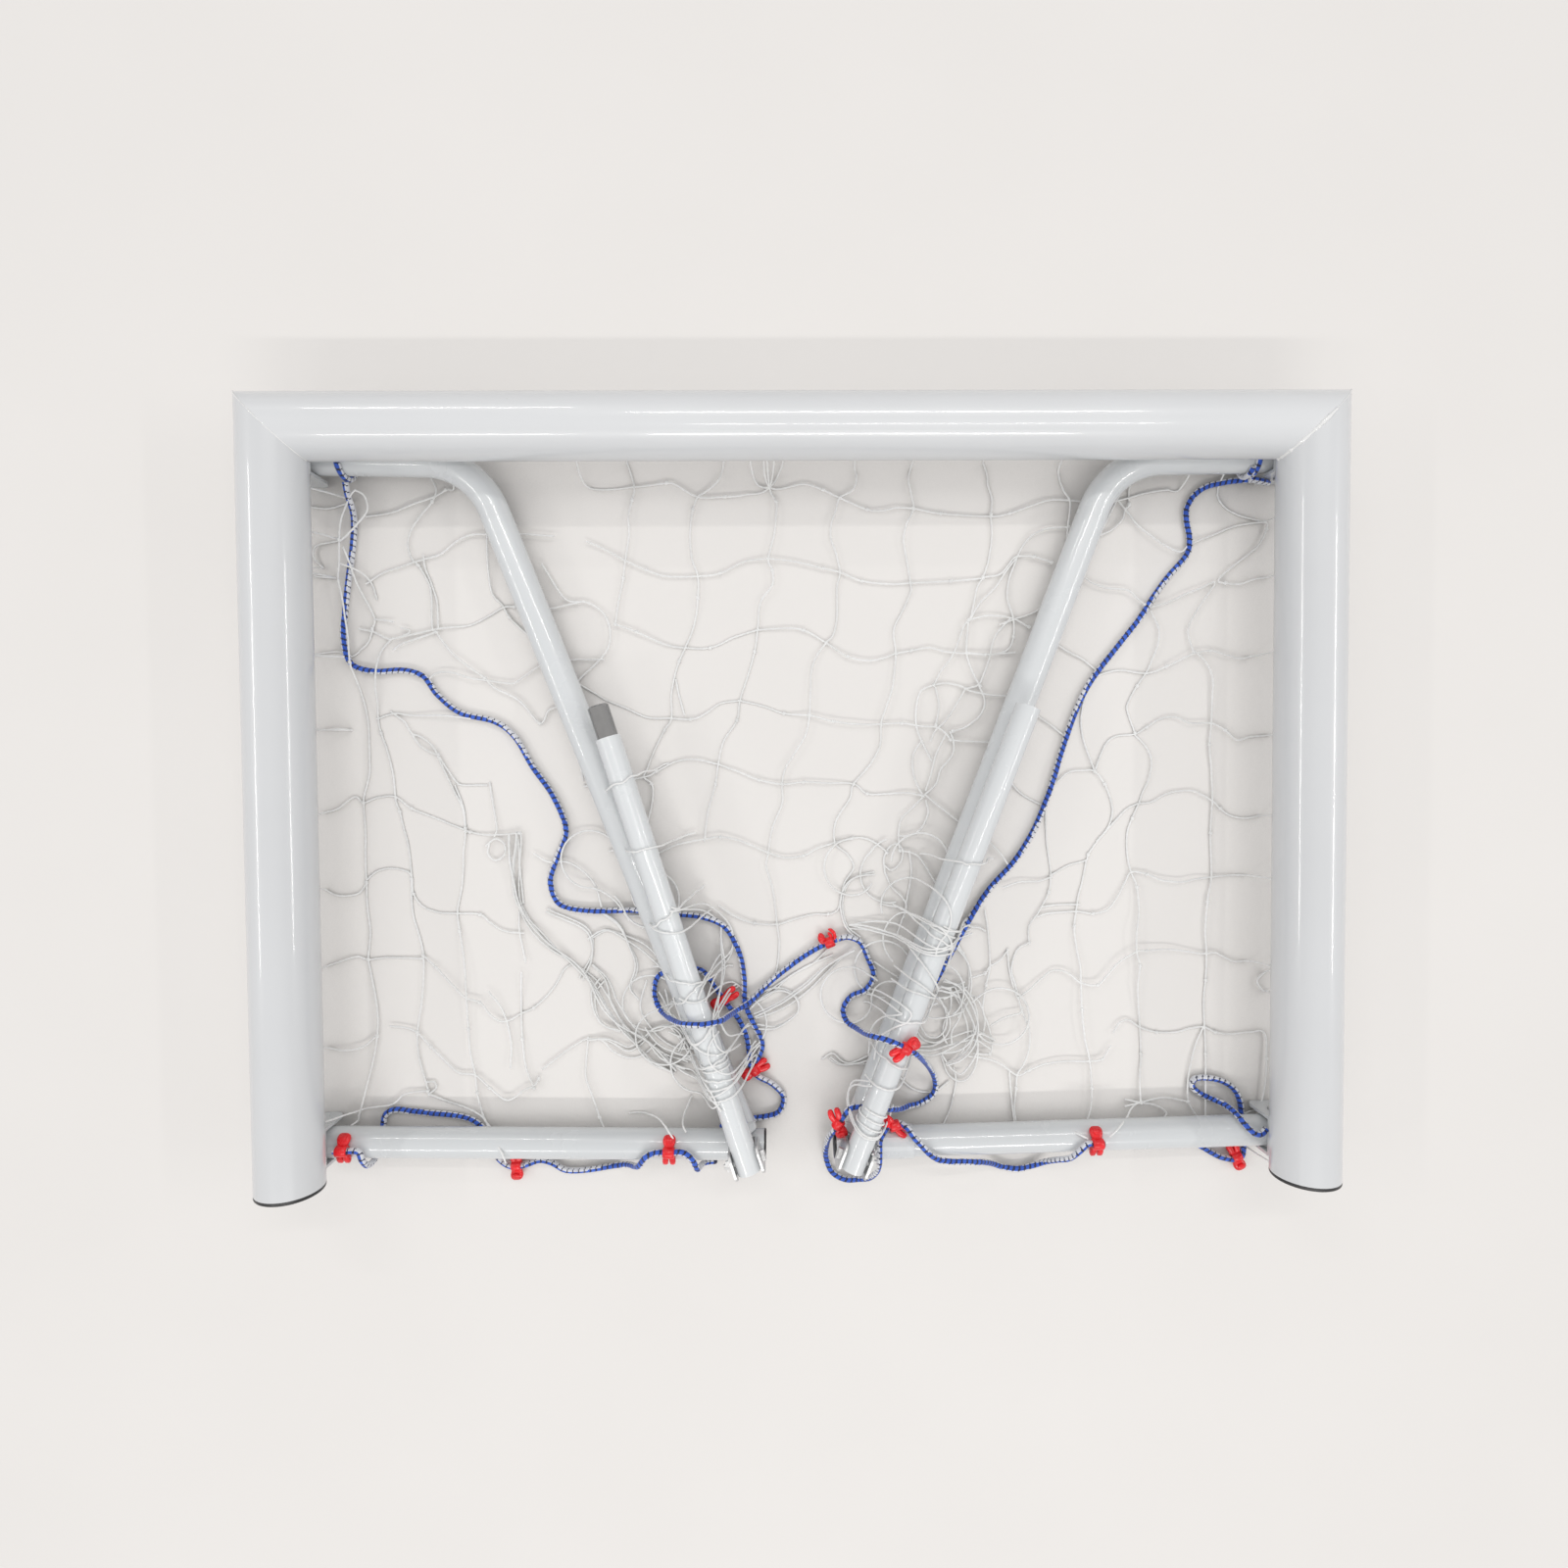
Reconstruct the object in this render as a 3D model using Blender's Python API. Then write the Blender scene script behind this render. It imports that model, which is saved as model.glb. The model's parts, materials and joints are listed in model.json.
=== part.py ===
"""Folding steel soccer goal, lying folded flat on the ground with its front face up.

Metres. +X runs along the crossbar to the right, +Y from the feet of the posts to the
crossbar, and +Z up from the ground. The origin is on the ground, under the middle of
the front frame.

The front frame is a crossbar and two posts. A side frame, made of a bent stanchion and
a ground tube, is hinged behind each post. Half of the rear bar is hinged to the rear
corner of each side frame. Unfolded, the halves meet in a spigot and socket.
"""

import math

import bmesh
import bpy
from mathutils import Matrix, Vector

# Front frame
OPENING_WIDTH = 1.200
OPENING_HEIGHT = 0.900
FRAME_TUBE_R = 0.040
FRAME_WALL = 0.002
CAP_LIP = 0.005
CAP_PLUG_LENGTH = 0.018
CAP_EDGE = 0.0015

# Side frames, folded behind the front frame
SIDE_TUBE_R = 0.020
SIDE_WALL = 0.002
FOLDED_GAP = 0.140
SIDE_TAIL = 0.022
SIDE_DROOP = math.radians(1.1)
GROUND_RISE = 0.028
STUB_DROP = 0.016
KNEE_OUT = 0.223
BEND_R = 0.100
FLOOR_GAP = 0.012
PLUG_LIP = 0.002
PLUG_LENGTH = 0.012

# Hinges behind the posts
KNUCKLE_R = 0.015
KNUCKLE_LENGTH = 0.044
HINGE_PIN_R = 0.006
HINGE_PIN_HEAD_R = 0.009
HINGE_PIN_HEAD = 0.003
BRACKET_WIDTH = 0.044
BRACKET_PLATE = 0.004
BRACKET_TOE_R = 0.012
TUBE_START = 0.010

# Rear bar halves and their clevises
BAR_R = 0.016
BAR_WALL = 0.002
BAR_LIFT = 0.010
BAR_HEEL = 0.014
LEFT_BAR_LENGTH = 0.5685
LEFT_BAR_SPLAY = math.radians(3.63)
SPIGOT_LENGTH = 0.042
SPIGOT_HIDDEN = 0.045
SPIGOT_WALL = 0.002
SPIGOT_CHAMFER = 0.0015
SPIGOT_CLEARANCE = 0.0005
BAR_JOIN_GAP = 0.0005
CLEVIS_PLATE = 0.003
CLEVIS_BACK = 0.019
CLEVIS_FRONT = 0.017
CLEVIS_RISE = 0.014
CLEVIS_CLEARANCE = 0.0006
CLEVIS_CORNER_R = 0.008
BOLT_R = 0.004
BOLT_HEAD_R = 0.0075
BOLT_HEAD = 0.005
NUT_HEIGHT = 0.0065
BOLT_TAIL = 0.003

# Net, rope, ties and clips
TWINE = 0.0025
NET_LIFT = 0.0002
NET_MESH = 0.098
NET_WAVE = 0.009
NET_UNDER_POST = 0.012
NET_HEM = 0.010
NET_BESIDE_TUBE = 0.005
NET_ARCH = 0.245
ROPE_R = 0.004
TIE_SQUEEZE = 0.75
LEFT_TIE_OUT = 0.055
RIGHT_TIE_OUT = 0.041
CLIP_WIDTH = 0.016
CLIP_BAND = 0.0035
CLIP_EYE_WALL = 0.0032
CLIP_WEB = 0.006
CLIP_FROM = math.radians(-45)
CLIP_TO = math.radians(150)
CLIP_KNOB_R = 0.0048
CLIP_FOOT = (0.033, 0.0068)
CLIP_FOOT_R = 0.0065
CLIP_FORK = 0.004
ROPE_CLIP_WIDTH = 0.014
ROPE_CLIP_LENGTH = 0.034
ROPE_CLIP_THICK = 0.008
ROPE_CLIP_FORK = 0.010
SLEEVE_BEFORE = 0.034
SLEEVE_LENGTH = 0.046
SLEEVE_WALL = 0.0018

# Fits and mesh fineness
GAP = 0.0003
PIN_CLEARANCE = 0.0004
FRAME_SIDES = 36
SIDE_SIDES = 24
SMALL_SIDES = 12
BEND_STEPS = 6

UP = Vector((0, 0, 1))
ALONG_X = Vector((1, 0, 0))
ALONG_Y = Vector((0, 1, 0))

# Worked out from the sizes above
POST_X = OPENING_WIDTH / 2 + FRAME_TUBE_R
POST_LENGTH = OPENING_HEIGHT + FRAME_TUBE_R
CROSSBAR_Y = (POST_LENGTH + FRAME_TUBE_R + CAP_LIP) / 2 - FRAME_TUBE_R
GROUND_Y = CROSSBAR_Y - POST_LENGTH + GROUND_RISE
STUB_UP = CROSSBAR_Y - STUB_DROP - GROUND_Y
SIDE_DEPTH = POST_X - FOLDED_GAP / 2
SLEEVE_TO = SIDE_DEPTH - SLEEVE_BEFORE
SLEEVE_FROM = SLEEVE_TO - SLEEVE_LENGTH
SIDE_Z = FLOOR_GAP + SIDE_TUBE_R
BRACKET_TOP = SIDE_Z + SIDE_TUBE_R + 2 * GAP + BRACKET_PLATE
FRAME_Z = BRACKET_TOP + GAP + FRAME_TUBE_R
BAR_Z = SIDE_Z + SIDE_TUBE_R + BAR_LIFT + BAR_R
CORNER_UP = -SIDE_DEPTH * math.tan(SIDE_DROOP)
KNEE_UP = STUB_UP - KNEE_OUT * math.tan(SIDE_DROOP)
RIGHT_BAR_LEAN = math.atan2(SIDE_DEPTH - KNEE_OUT, KNEE_UP - CORNER_UP)
LEFT_BAR_LEAN = RIGHT_BAR_LEAN - LEFT_BAR_SPLAY
BETWEEN_PIVOTS = 2 * (POST_X - (BAR_Z - SIDE_Z))
RIGHT_BAR_LENGTH = BETWEEN_PIVOTS - LEFT_BAR_LENGTH - BAR_JOIN_GAP
NET_REACH = OPENING_WIDTH / 2 + NET_UNDER_POST
NET_TOP = CROSSBAR_Y + TWINE
ROPE_Z = NET_LIFT + TWINE + GAP + ROPE_R
EYE_R = ROPE_R + GAP + CLIP_EYE_WALL
EYE_Z = EYE_R + 0.001
CLIP_ROPE_Z = NET_LIFT + TWINE + GAP + EYE_R
CLIP_TOP_Z = SIDE_Z + SIDE_TUBE_R + 0.0070
CLIP_SHOULDER_Z = 0.048
OVER_BAR_Z = BAR_Z + BAR_R + ROPE_R + 0.003
CLIP_OVER_BAR_Z = BAR_Z + BAR_R + EYE_R + 0.0022

# Rope routes, in metres on a side frame: out from its hinge, up along the post from the
# hinge end of the ground tube, and the height of the rope's centre above the ground.
# They are drawn for a stanchion with this knee and this rear corner, and move with them.
ROUTE_KNEE = (0.223, 0.8917)
ROUTE_CORNER = (0.570, -0.0109)
ROUTE_CLEAR_OF_POST = 0.1
ROUTE_NEAR_STANCHION = 0.8
ROUTE_UPPER_HALF = (0.35, 0.80)
LEFT_SIDE_ROPE = (
    (0.055, 0.8667, 0.032), (0.055, 0.852, 0.026), (0.055, 0.828, 0.011), (0.051, 0.790, ROPE_Z),
    (0.045, 0.750, ROPE_Z), (0.039, 0.705, ROPE_Z), (0.036, 0.668, ROPE_Z), (0.045, 0.635, ROPE_Z),
    (0.075, 0.624, ROPE_Z), (0.115, 0.625, ROPE_Z), (0.142, 0.616, ROPE_Z), (0.160, 0.592, ROPE_Z),
    (0.190, 0.568, ROPE_Z), (0.235, 0.556, ROPE_Z), (0.262, 0.535, ROPE_Z), (0.285, 0.495, ROPE_Z),
    (0.312, 0.455, ROPE_Z), (0.328, 0.410, ROPE_Z), (0.315, 0.372, ROPE_Z), (0.306, 0.340, ROPE_Z),
    (0.318, 0.310, ROPE_Z), (0.355, 0.300, ROPE_Z), (0.420, 0.300, ROPE_Z), (0.465, 0.295, ROPE_Z),
    (0.510, 0.290, ROPE_Z), (0.542, 0.275, ROPE_Z), (0.560, 0.240, ROPE_Z), (0.566, 0.205, ROPE_Z),
    (0.567, 0.172, ROPE_Z), (0.578, 0.144, ROPE_Z), (0.587, 0.126, ROPE_Z), (0.590, 0.112, ROPE_Z),
)
LEFT_LOOP_ROPE = (
    (0.6925, 0.2583, CLIP_ROPE_Z), (0.684, 0.255, CLIP_ROPE_Z), (0.665, 0.246, 0.009), (0.640, 0.230, ROPE_Z),
    (0.608, 0.206, ROPE_Z), (0.588, 0.188, 0.010), (0.573, 0.175, 0.017), (0.556, 0.169, 0.034),
    (0.546, 0.171, 0.066), (0.538, 0.173, 0.090), (0.519, 0.172, OVER_BAR_Z), (0.496, 0.170, 0.093),
    (0.481, 0.166, 0.070), (0.464, 0.163, 0.032), (0.451, 0.168, 0.010), (0.444, 0.188, ROPE_Z),
    (0.451, 0.211, ROPE_Z), (0.476, 0.220, ROPE_Z), (0.508, 0.217, 0.008), (0.526, 0.196, CLIP_ROPE_Z),
    (0.543, 0.172, CLIP_ROPE_Z), (0.560, 0.147, ROPE_Z), (0.569, 0.125, 0.008), (0.573, 0.104, CLIP_ROPE_Z),
    (0.575, 0.086, CLIP_ROPE_Z), (0.584, 0.072, 0.009), (0.604, 0.060, ROPE_Z), (0.619, 0.042, ROPE_Z),
    (0.612, 0.021, ROPE_Z), (0.588, 0.014, ROPE_Z), (0.560, 0.011, ROPE_Z), (0.532, 0.002, ROPE_Z),
)
LEFT_GROUND_ROPE = (
    (0.034, -0.001, CLIP_TOP_Z), (0.050, -0.001, CLIP_TOP_Z), (0.066, -0.002, CLIP_TOP_Z),
    (0.070, -0.014, 0.057), (0.070, -0.027, 0.044), (0.070, -0.030, 0.028), (0.070, -0.025, 0.011),
    (0.073, -0.009, ROPE_Z), (0.075, 0.010, ROPE_Z), (0.079, 0.025, ROPE_Z), (0.092, 0.031, ROPE_Z),
    (0.112, 0.029, ROPE_Z),
    (0.140, 0.026, ROPE_Z), (0.169, 0.023, ROPE_Z), (0.193, 0.017, ROPE_Z), (0.210, 0.004, ROPE_Z),
    (0.220, -0.016, ROPE_Z), (0.230, -0.037, ROPE_Z), (0.244, -0.047, EYE_Z), (0.256, -0.048, EYE_Z),
    (0.268, -0.046, EYE_Z), (0.286, -0.041, ROPE_Z), (0.303, -0.045, ROPE_Z), (0.322, -0.055, ROPE_Z),
    (0.350, -0.055, ROPE_Z), (0.385, -0.050, ROPE_Z), (0.405, -0.045, 0.014), (0.420, -0.038, 0.034),
    (0.428, -0.029, 0.051), (0.438, -0.014, 0.060), (0.450, -0.009, CLIP_TOP_Z), (0.468, -0.009, CLIP_TOP_Z),
    (0.486, -0.009, CLIP_TOP_Z), (0.498, -0.018, 0.059), (0.504, -0.034, 0.051), (0.506, -0.041, 0.032),
    (0.511, -0.044, 0.014), (0.525, -0.045, ROPE_Z),
)
RIGHT_SIDE_ROPE = (
    (0.041, 0.8671, 0.032), (0.042, 0.853, 0.027), (0.053, 0.846, 0.015), (0.072, 0.851, ROPE_Z),
    (0.094, 0.852, ROPE_Z), (0.110, 0.839, ROPE_Z), (0.113, 0.818, ROPE_Z), (0.108, 0.795, ROPE_Z),
    (0.112, 0.774, ROPE_Z), (0.136, 0.746, ROPE_Z), (0.155, 0.720, ROPE_Z), (0.175, 0.690, ROPE_Z),
    (0.213, 0.642, ROPE_Z), (0.243, 0.603, ROPE_Z), (0.264, 0.560, ROPE_Z), (0.281, 0.510, ROPE_Z),
    (0.298, 0.455, ROPE_Z), (0.318, 0.405, ROPE_Z), (0.345, 0.362, ROPE_Z), (0.380, 0.323, ROPE_Z),
    (0.410, 0.277, ROPE_Z), (0.440, 0.222, ROPE_Z), (0.462, 0.184, ROPE_Z), (0.484, 0.156, ROPE_Z),
)
RIGHT_LOOP_ROPE = (
    (0.5855, 0.259, CLIP_ROPE_Z), (0.572, 0.261, 0.009), (0.555, 0.253, ROPE_Z), (0.545, 0.232, ROPE_Z),
    (0.537, 0.208, ROPE_Z), (0.548, 0.188, ROPE_Z), (0.568, 0.179, ROPE_Z), (0.579, 0.162, ROPE_Z),
    (0.575, 0.147, 0.012), (0.564, 0.144, 0.034), (0.556, 0.148, 0.066), (0.547, 0.152, 0.092),
    (0.530, 0.150, CLIP_OVER_BAR_Z), (0.514, 0.143, CLIP_OVER_BAR_Z), (0.497, 0.132, 0.100),
    (0.481, 0.113, 0.070), (0.464, 0.086, 0.030), (0.454, 0.062, 0.010), (0.456, 0.044, ROPE_Z),
    (0.473, 0.031, ROPE_Z), (0.490, 0.030, 0.014), (0.505, 0.034, 0.032), (0.520, 0.041, 0.050),
    (0.535, 0.046, 0.057), (0.560, 0.048, 0.057), (0.575, 0.046, 0.058), (0.586, 0.034, 0.060),
    (0.596, 0.017, 0.057), (0.602, 0.001, 0.042), (0.604, -0.018, 0.022), (0.604, -0.040, 0.009),
    (0.596, -0.062, ROPE_Z), (0.578, -0.073, ROPE_Z),
    (0.559, -0.072, 0.009), (0.546, -0.063, 0.024), (0.539, -0.045, 0.044), (0.537, -0.028, 0.057),
    (0.537, -0.012, 0.060), (0.536, 0.004, 0.059), (0.528, 0.016, 0.054), (0.519, 0.021, CLIP_SHOULDER_Z),
    (0.508, 0.021, CLIP_SHOULDER_Z), (0.499, 0.017, 0.055), (0.491, 0.007, 0.060), (0.482, -0.003, 0.060),
    (0.472, -0.014, 0.060), (0.459, -0.024, 0.056), (0.441, -0.029, 0.052), (0.421, -0.032, 0.047),
    (0.404, -0.036, 0.040), (0.390, -0.042, 0.028), (0.376, -0.051, 0.014), (0.361, -0.059, ROPE_Z),
    (0.340, -0.062, ROPE_Z), (0.318, -0.057, ROPE_Z), (0.304, -0.049, 0.014), (0.294, -0.038, 0.032),
    (0.283, -0.029, 0.047), (0.274, -0.015, 0.058), (0.263, -0.0047, CLIP_TOP_Z), (0.252, -0.0047, CLIP_TOP_Z),
    (0.241, -0.0047, CLIP_TOP_Z),
)
RIGHT_CORNER_ROPE = (
    (0.027, 0.012, 0.058), (0.035, 0.006, 0.060), (0.045, 0.008, 0.060), (0.054, 0.018, 0.054),
    (0.058, 0.026, 0.038), (0.062, 0.029, 0.018), (0.073, 0.032, ROPE_Z), (0.090, 0.040, ROPE_Z),
    (0.100, 0.050, ROPE_Z), (0.096, 0.060, ROPE_Z), (0.078, 0.061, ROPE_Z), (0.058, 0.056, ROPE_Z),
    (0.043, 0.046, ROPE_Z), (0.034, 0.030, ROPE_Z), (0.031, 0.010, ROPE_Z), (0.029, -0.012, ROPE_Z),
    (0.028, -0.033, ROPE_Z), (0.031, -0.047, EYE_Z), (0.040, -0.052, EYE_Z), (0.051, -0.051, EYE_Z),
    (0.062, -0.048, EYE_Z), (0.072, -0.043, ROPE_Z), (0.094, -0.030, ROPE_Z), (0.120, -0.018, ROPE_Z),
    (0.150, -0.014, ROPE_Z),
)
ROPE_STEP = 5.5 * ROPE_R

# How far out along a ground tube each clip that grips it sits
LEFT_TUBE_CLIPS = (0.045, 0.468)
RIGHT_TUBE_CLIPS = (0.250,)
# Each loose clip: its rope's route, the nearest point of it, how far the clip's body turns
# from square to the rope, and how far the body lies to the side of the rope.
LEFT_ROPE_CLIPS = (
    (LEFT_GROUND_ROPE, (0.256, -0.048), 0, 0.004),
    (LEFT_LOOP_ROPE, (0.5345, 0.184), 0, 0.004),
    (LEFT_LOOP_ROPE, (0.575, 0.088), 0, 0.004),
    (LEFT_LOOP_ROPE, (0.686, 0.2555), 0, 0.004),
)
RIGHT_ROPE_CLIPS = (
    (RIGHT_LOOP_ROPE, (0.516, 0.1435), -28, -0.002),
    (RIGHT_LOOP_ROPE, (0.586, 0.034), 0, 0.004),
    (RIGHT_LOOP_ROPE, (0.513, 0.021), 50, -0.008),
    (RIGHT_CORNER_ROPE, (0.045, -0.052), 0, 0.004),
)


def clear_scene():
    for old in list(bpy.data.objects):
        bpy.data.objects.remove(old)


def material(name, colour, roughness, metallic=0.0):
    made = bpy.data.materials.new(name)
    made.use_nodes = True
    shader = made.node_tree.nodes["Principled BSDF"]
    shader.inputs["Base Color"].default_value = (*colour, 1)
    shader.inputs["Roughness"].default_value = roughness
    shader.inputs["Metallic"].default_value = metallic
    return made


def white_paint(name):
    return material(name, (0.80, 0.83, 0.85), 0.25)


def black_plastic(name):
    return material(name, (0.02, 0.02, 0.022), 0.5)


def bright_steel(name):
    return material(name, (0.60, 0.59, 0.57), 0.25, 1.0)


def galvanised(name):
    return material(name, (0.52, 0.54, 0.55), 0.45, 1.0)


def red_plastic(name):
    return material(name, (0.75, 0.01, 0.015), 0.35)


def white_twine(name):
    return material(name, (0.82, 0.81, 0.77), 0.85)


def blue_rope(name):
    return material(name, (0.30, 0.37, 0.62), 0.8)


def made_object(name, mesh, paint):
    """Turns a bmesh into a named object with smooth round faces and its own material."""
    bmesh.ops.recalc_face_normals(mesh, faces=mesh.faces)
    data = bpy.data.meshes.new(name)
    mesh.to_mesh(data)
    mesh.free()
    data.shade_smooth()
    data.set_sharp_from_angle(angle=math.radians(35))
    data.materials.append(paint(name))
    made = bpy.data.objects.new(name, data)
    bpy.context.collection.objects.link(made)
    return made


def tool_object(mesh):
    """A piece that is only cut from or joined to another, and then removed."""
    return made_object("tool", mesh, white_paint)


def combine(piece, tool, operation):
    change = piece.modifiers.new(operation, "BOOLEAN")
    change.operation = operation
    change.object = tool
    graph = bpy.context.evaluated_depsgraph_get()
    shaped = bpy.data.meshes.new_from_object(piece.evaluated_get(graph))
    piece.modifiers.clear()
    piece.data = shaped
    shaped.shade_smooth()
    shaped.set_sharp_from_angle(angle=math.radians(35))
    bpy.data.objects.remove(tool)


def cut(piece, tool):
    combine(piece, tool, "DIFFERENCE")


def join(piece, tool):
    combine(piece, tool, "UNION")


def skin_rings(mesh, rings, closed):
    """Joins rings of vertices into a tube wall; closed also joins the last to the first."""
    pairs = list(zip(rings, rings[1:]))
    if closed:
        pairs.append((rings[-1], rings[0]))
    for low, high in pairs:
        for i, corner in enumerate(low):
            j = (i + 1) % len(low)
            mesh.faces.new((corner, low[j], high[j], high[i]))


def pipe_mesh(stations, radius, wall, sides):
    """A tube in a level plane, open at both ends. Each station is a centre and the
    vector across the tube there, longer than 1 where a mitre slants the section."""
    mesh = bmesh.new()

    def ring(centre, across, r):
        turns = [2 * math.pi * (i + 0.5) / sides for i in range(sides)]
        return [mesh.verts.new(centre + across * (r * math.cos(a)) + UP * (r * math.sin(a))) for a in turns]

    outer = [ring(centre, across, radius) for centre, across in stations]
    bore = [ring(centre, across, radius - wall) for centre, across in stations]
    skin_rings(mesh, outer + bore[::-1], closed=True)
    return mesh


def turned_mesh(base, axis, profile, sides, closed=False):
    """Turns a profile of (radius, height) points round an axis; closed leaves a bore."""
    mesh = bmesh.new()
    turn = UP.rotation_difference(axis).to_matrix().to_4x4()
    place = Matrix.Translation(base) @ turn
    rings = []
    for r, h in profile:
        angles = [2 * math.pi * (i + 0.5) / sides for i in range(sides)]
        rings.append([mesh.verts.new(place @ Vector((r * math.cos(a), r * math.sin(a), h))) for a in angles])
    skin_rings(mesh, rings, closed)
    if not closed:
        mesh.faces.new(rings[0][::-1])
        mesh.faces.new(rings[-1])
    return mesh


def rod_mesh(start, end, radius, sides):
    length = (end - start).length
    return turned_mesh(start, (end - start).normalized(), ((radius, 0), (radius, length)), sides)


def extruded_mesh(outline, origin, across, rise, depth):
    """A plate: an outline of (across, rise) points, made solid for depth, a vector."""
    mesh = bmesh.new()
    near = [mesh.verts.new(origin + across * a + rise * b) for a, b in outline]
    far = [mesh.verts.new(v.co + depth) for v in near]
    mesh.faces.new(near)
    mesh.faces.new(far[::-1])
    skin_rings(mesh, [near, far], closed=False)
    return mesh


def rounded_outline(low, high, radii, steps=5):
    """A rectangle whose corners, from the lower left anticlockwise, have these radii."""
    corners = ((low[0], low[1], 180), (high[0], low[1], 270), (high[0], high[1], 0), (low[0], high[1], 90))
    points = []
    for (x, y, start), r in zip(corners, radii):
        if r == 0:
            points.append((x, y))
            continue
        centre = (x + r if x == low[0] else x - r, y + r if y == low[1] else y - r)
        for i in range(steps + 1):
            turn = math.radians(start + 90 * i / steps)
            points.append((centre[0] + r * math.cos(turn), centre[1] + r * math.sin(turn)))
    return points


def joint_empty(name, at):
    empty = bpy.data.objects.new(name, None)
    empty.location = at
    bpy.context.collection.objects.link(empty)
    bpy.context.view_layer.update()
    return empty


def carry(empty, pieces):
    for piece in pieces:
        piece.parent = empty
        piece.matrix_parent_inverse = empty.matrix_world.inverted()


def on_side(side, out, up, z):
    """A point of a side frame: out from its hinge, up along the post, and above ground."""
    return Vector((side * (POST_X - out), GROUND_Y + up, z))


def tube_up(out):
    """How far the drooping ground tube has dropped, this far out from its hinge."""
    return -out * math.tan(SIDE_DROOP)


def front_frame():
    """The crossbar and posts, mitred at the corners and shut with plastic caps."""
    corner = math.sqrt(2)
    seam = GAP / 2 * corner
    left = Vector((-POST_X, CROSSBAR_Y, FRAME_Z))
    right = Vector((POST_X, CROSSBAR_Y, FRAME_Z))
    slant_left = Vector((-1, 1, 0))
    slant_right = Vector((1, 1, 0))
    shift = Vector((seam / 2, 0, 0))
    stations = ((left + shift, slant_left), (right - shift, slant_right))
    pieces = [made_object("crossbar", pipe_mesh(stations, FRAME_TUBE_R, FRAME_WALL, FRAME_SIDES), white_paint)]
    for side, name, top, slant in ((-1, "left", left, -slant_left), (1, "right", right, -slant_right)):
        foot = Vector((side * POST_X, CROSSBAR_Y - POST_LENGTH, FRAME_Z))
        drop = Vector((0, -seam / 2, 0))
        stations = ((top + drop, slant), (foot, Vector((-side, 0, 0))))
        post = made_object(f"{name}_post", pipe_mesh(stations, FRAME_TUBE_R, FRAME_WALL, FRAME_SIDES), white_paint)
        plug_r = FRAME_TUBE_R - FRAME_WALL - GAP
        profile = (
            (plug_r, -CAP_PLUG_LENGTH),
            (plug_r, GAP),
            (FRAME_TUBE_R, GAP),
            (FRAME_TUBE_R, CAP_LIP - CAP_EDGE),
            (FRAME_TUBE_R - CAP_EDGE, CAP_LIP),
        )
        cap = made_object(f"{name}_post_cap", turned_mesh(foot, -ALONG_Y, profile, FRAME_SIDES), black_plastic)
        pieces += [post, cap]
    return pieces


def hinge_bracket(name, at):
    """A U of plate welded behind a post, open downwards, that holds a knuckle and its pin."""
    inner = KNUCKLE_LENGTH / 2 + PIN_CLEARANCE
    outer = inner + BRACKET_PLATE
    web = BRACKET_TOP - BRACKET_PLATE
    profile = ((-outer, 0), (-inner, 0), (-inner, web), (inner, web), (inner, 0), (outer, 0),
               (outer, BRACKET_TOP), (-outer, BRACKET_TOP))
    half = BRACKET_WIDTH / 2
    origin = Vector((at.x - half, at.y, 0))
    bracket = made_object(name, extruded_mesh(profile, origin, ALONG_Y, UP, ALONG_X * BRACKET_WIDTH), white_paint)
    toes = rounded_outline((-half, 0), (half, 2 * BRACKET_TOP), (BRACKET_TOE_R, BRACKET_TOE_R, 0, 0))
    start = Vector((at.x, at.y - 2 * outer, 0))
    combine(bracket, tool_object(extruded_mesh(toes, start, ALONG_X, UP, ALONG_Y * 4 * outer)), "INTERSECT")
    reach = ALONG_Y * 2 * outer
    cut(bracket, tool_object(rod_mesh(at - reach, at + reach, HINGE_PIN_R + GAP, SMALL_SIDES)))
    return bracket


def hinge_pin(name, at):
    """A plain pin with a flat head at each end, riveted over the bracket's ears."""
    half = KNUCKLE_LENGTH / 2 + PIN_CLEARANCE + BRACKET_PLATE + GAP
    end = half + HINGE_PIN_HEAD
    profile = ((HINGE_PIN_HEAD_R, -end), (HINGE_PIN_HEAD_R, -half), (HINGE_PIN_R, -half),
               (HINGE_PIN_R, half), (HINGE_PIN_HEAD_R, half), (HINGE_PIN_HEAD_R, end))
    return made_object(name, turned_mesh(at, ALONG_Y, profile, SMALL_SIDES), galvanised)


def hinge_knuckle(name, at):
    """The bored barrel at the end of a side tube, which turns on the hinge pin."""
    half = KNUCKLE_LENGTH / 2
    bore = HINGE_PIN_R + PIN_CLEARANCE
    profile = ((bore, -half), (KNUCKLE_R, -half), (KNUCKLE_R, half), (bore, half))
    return made_object(name, turned_mesh(at, ALONG_Y, profile, SIDE_SIDES, closed=True), white_paint)


def cope_tool(at, radius, along, half):
    """A rod that hollows the end of one tube to fit round another."""
    return tool_object(rod_mesh(at - along * half, at + along * half, radius + GAP + 0.0001, FRAME_SIDES))


def across_of(side, direction):
    """The level vector across a tube that runs this way on a side frame."""
    out, up = direction
    return Vector((side * up, out, 0)).normalized()


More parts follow.
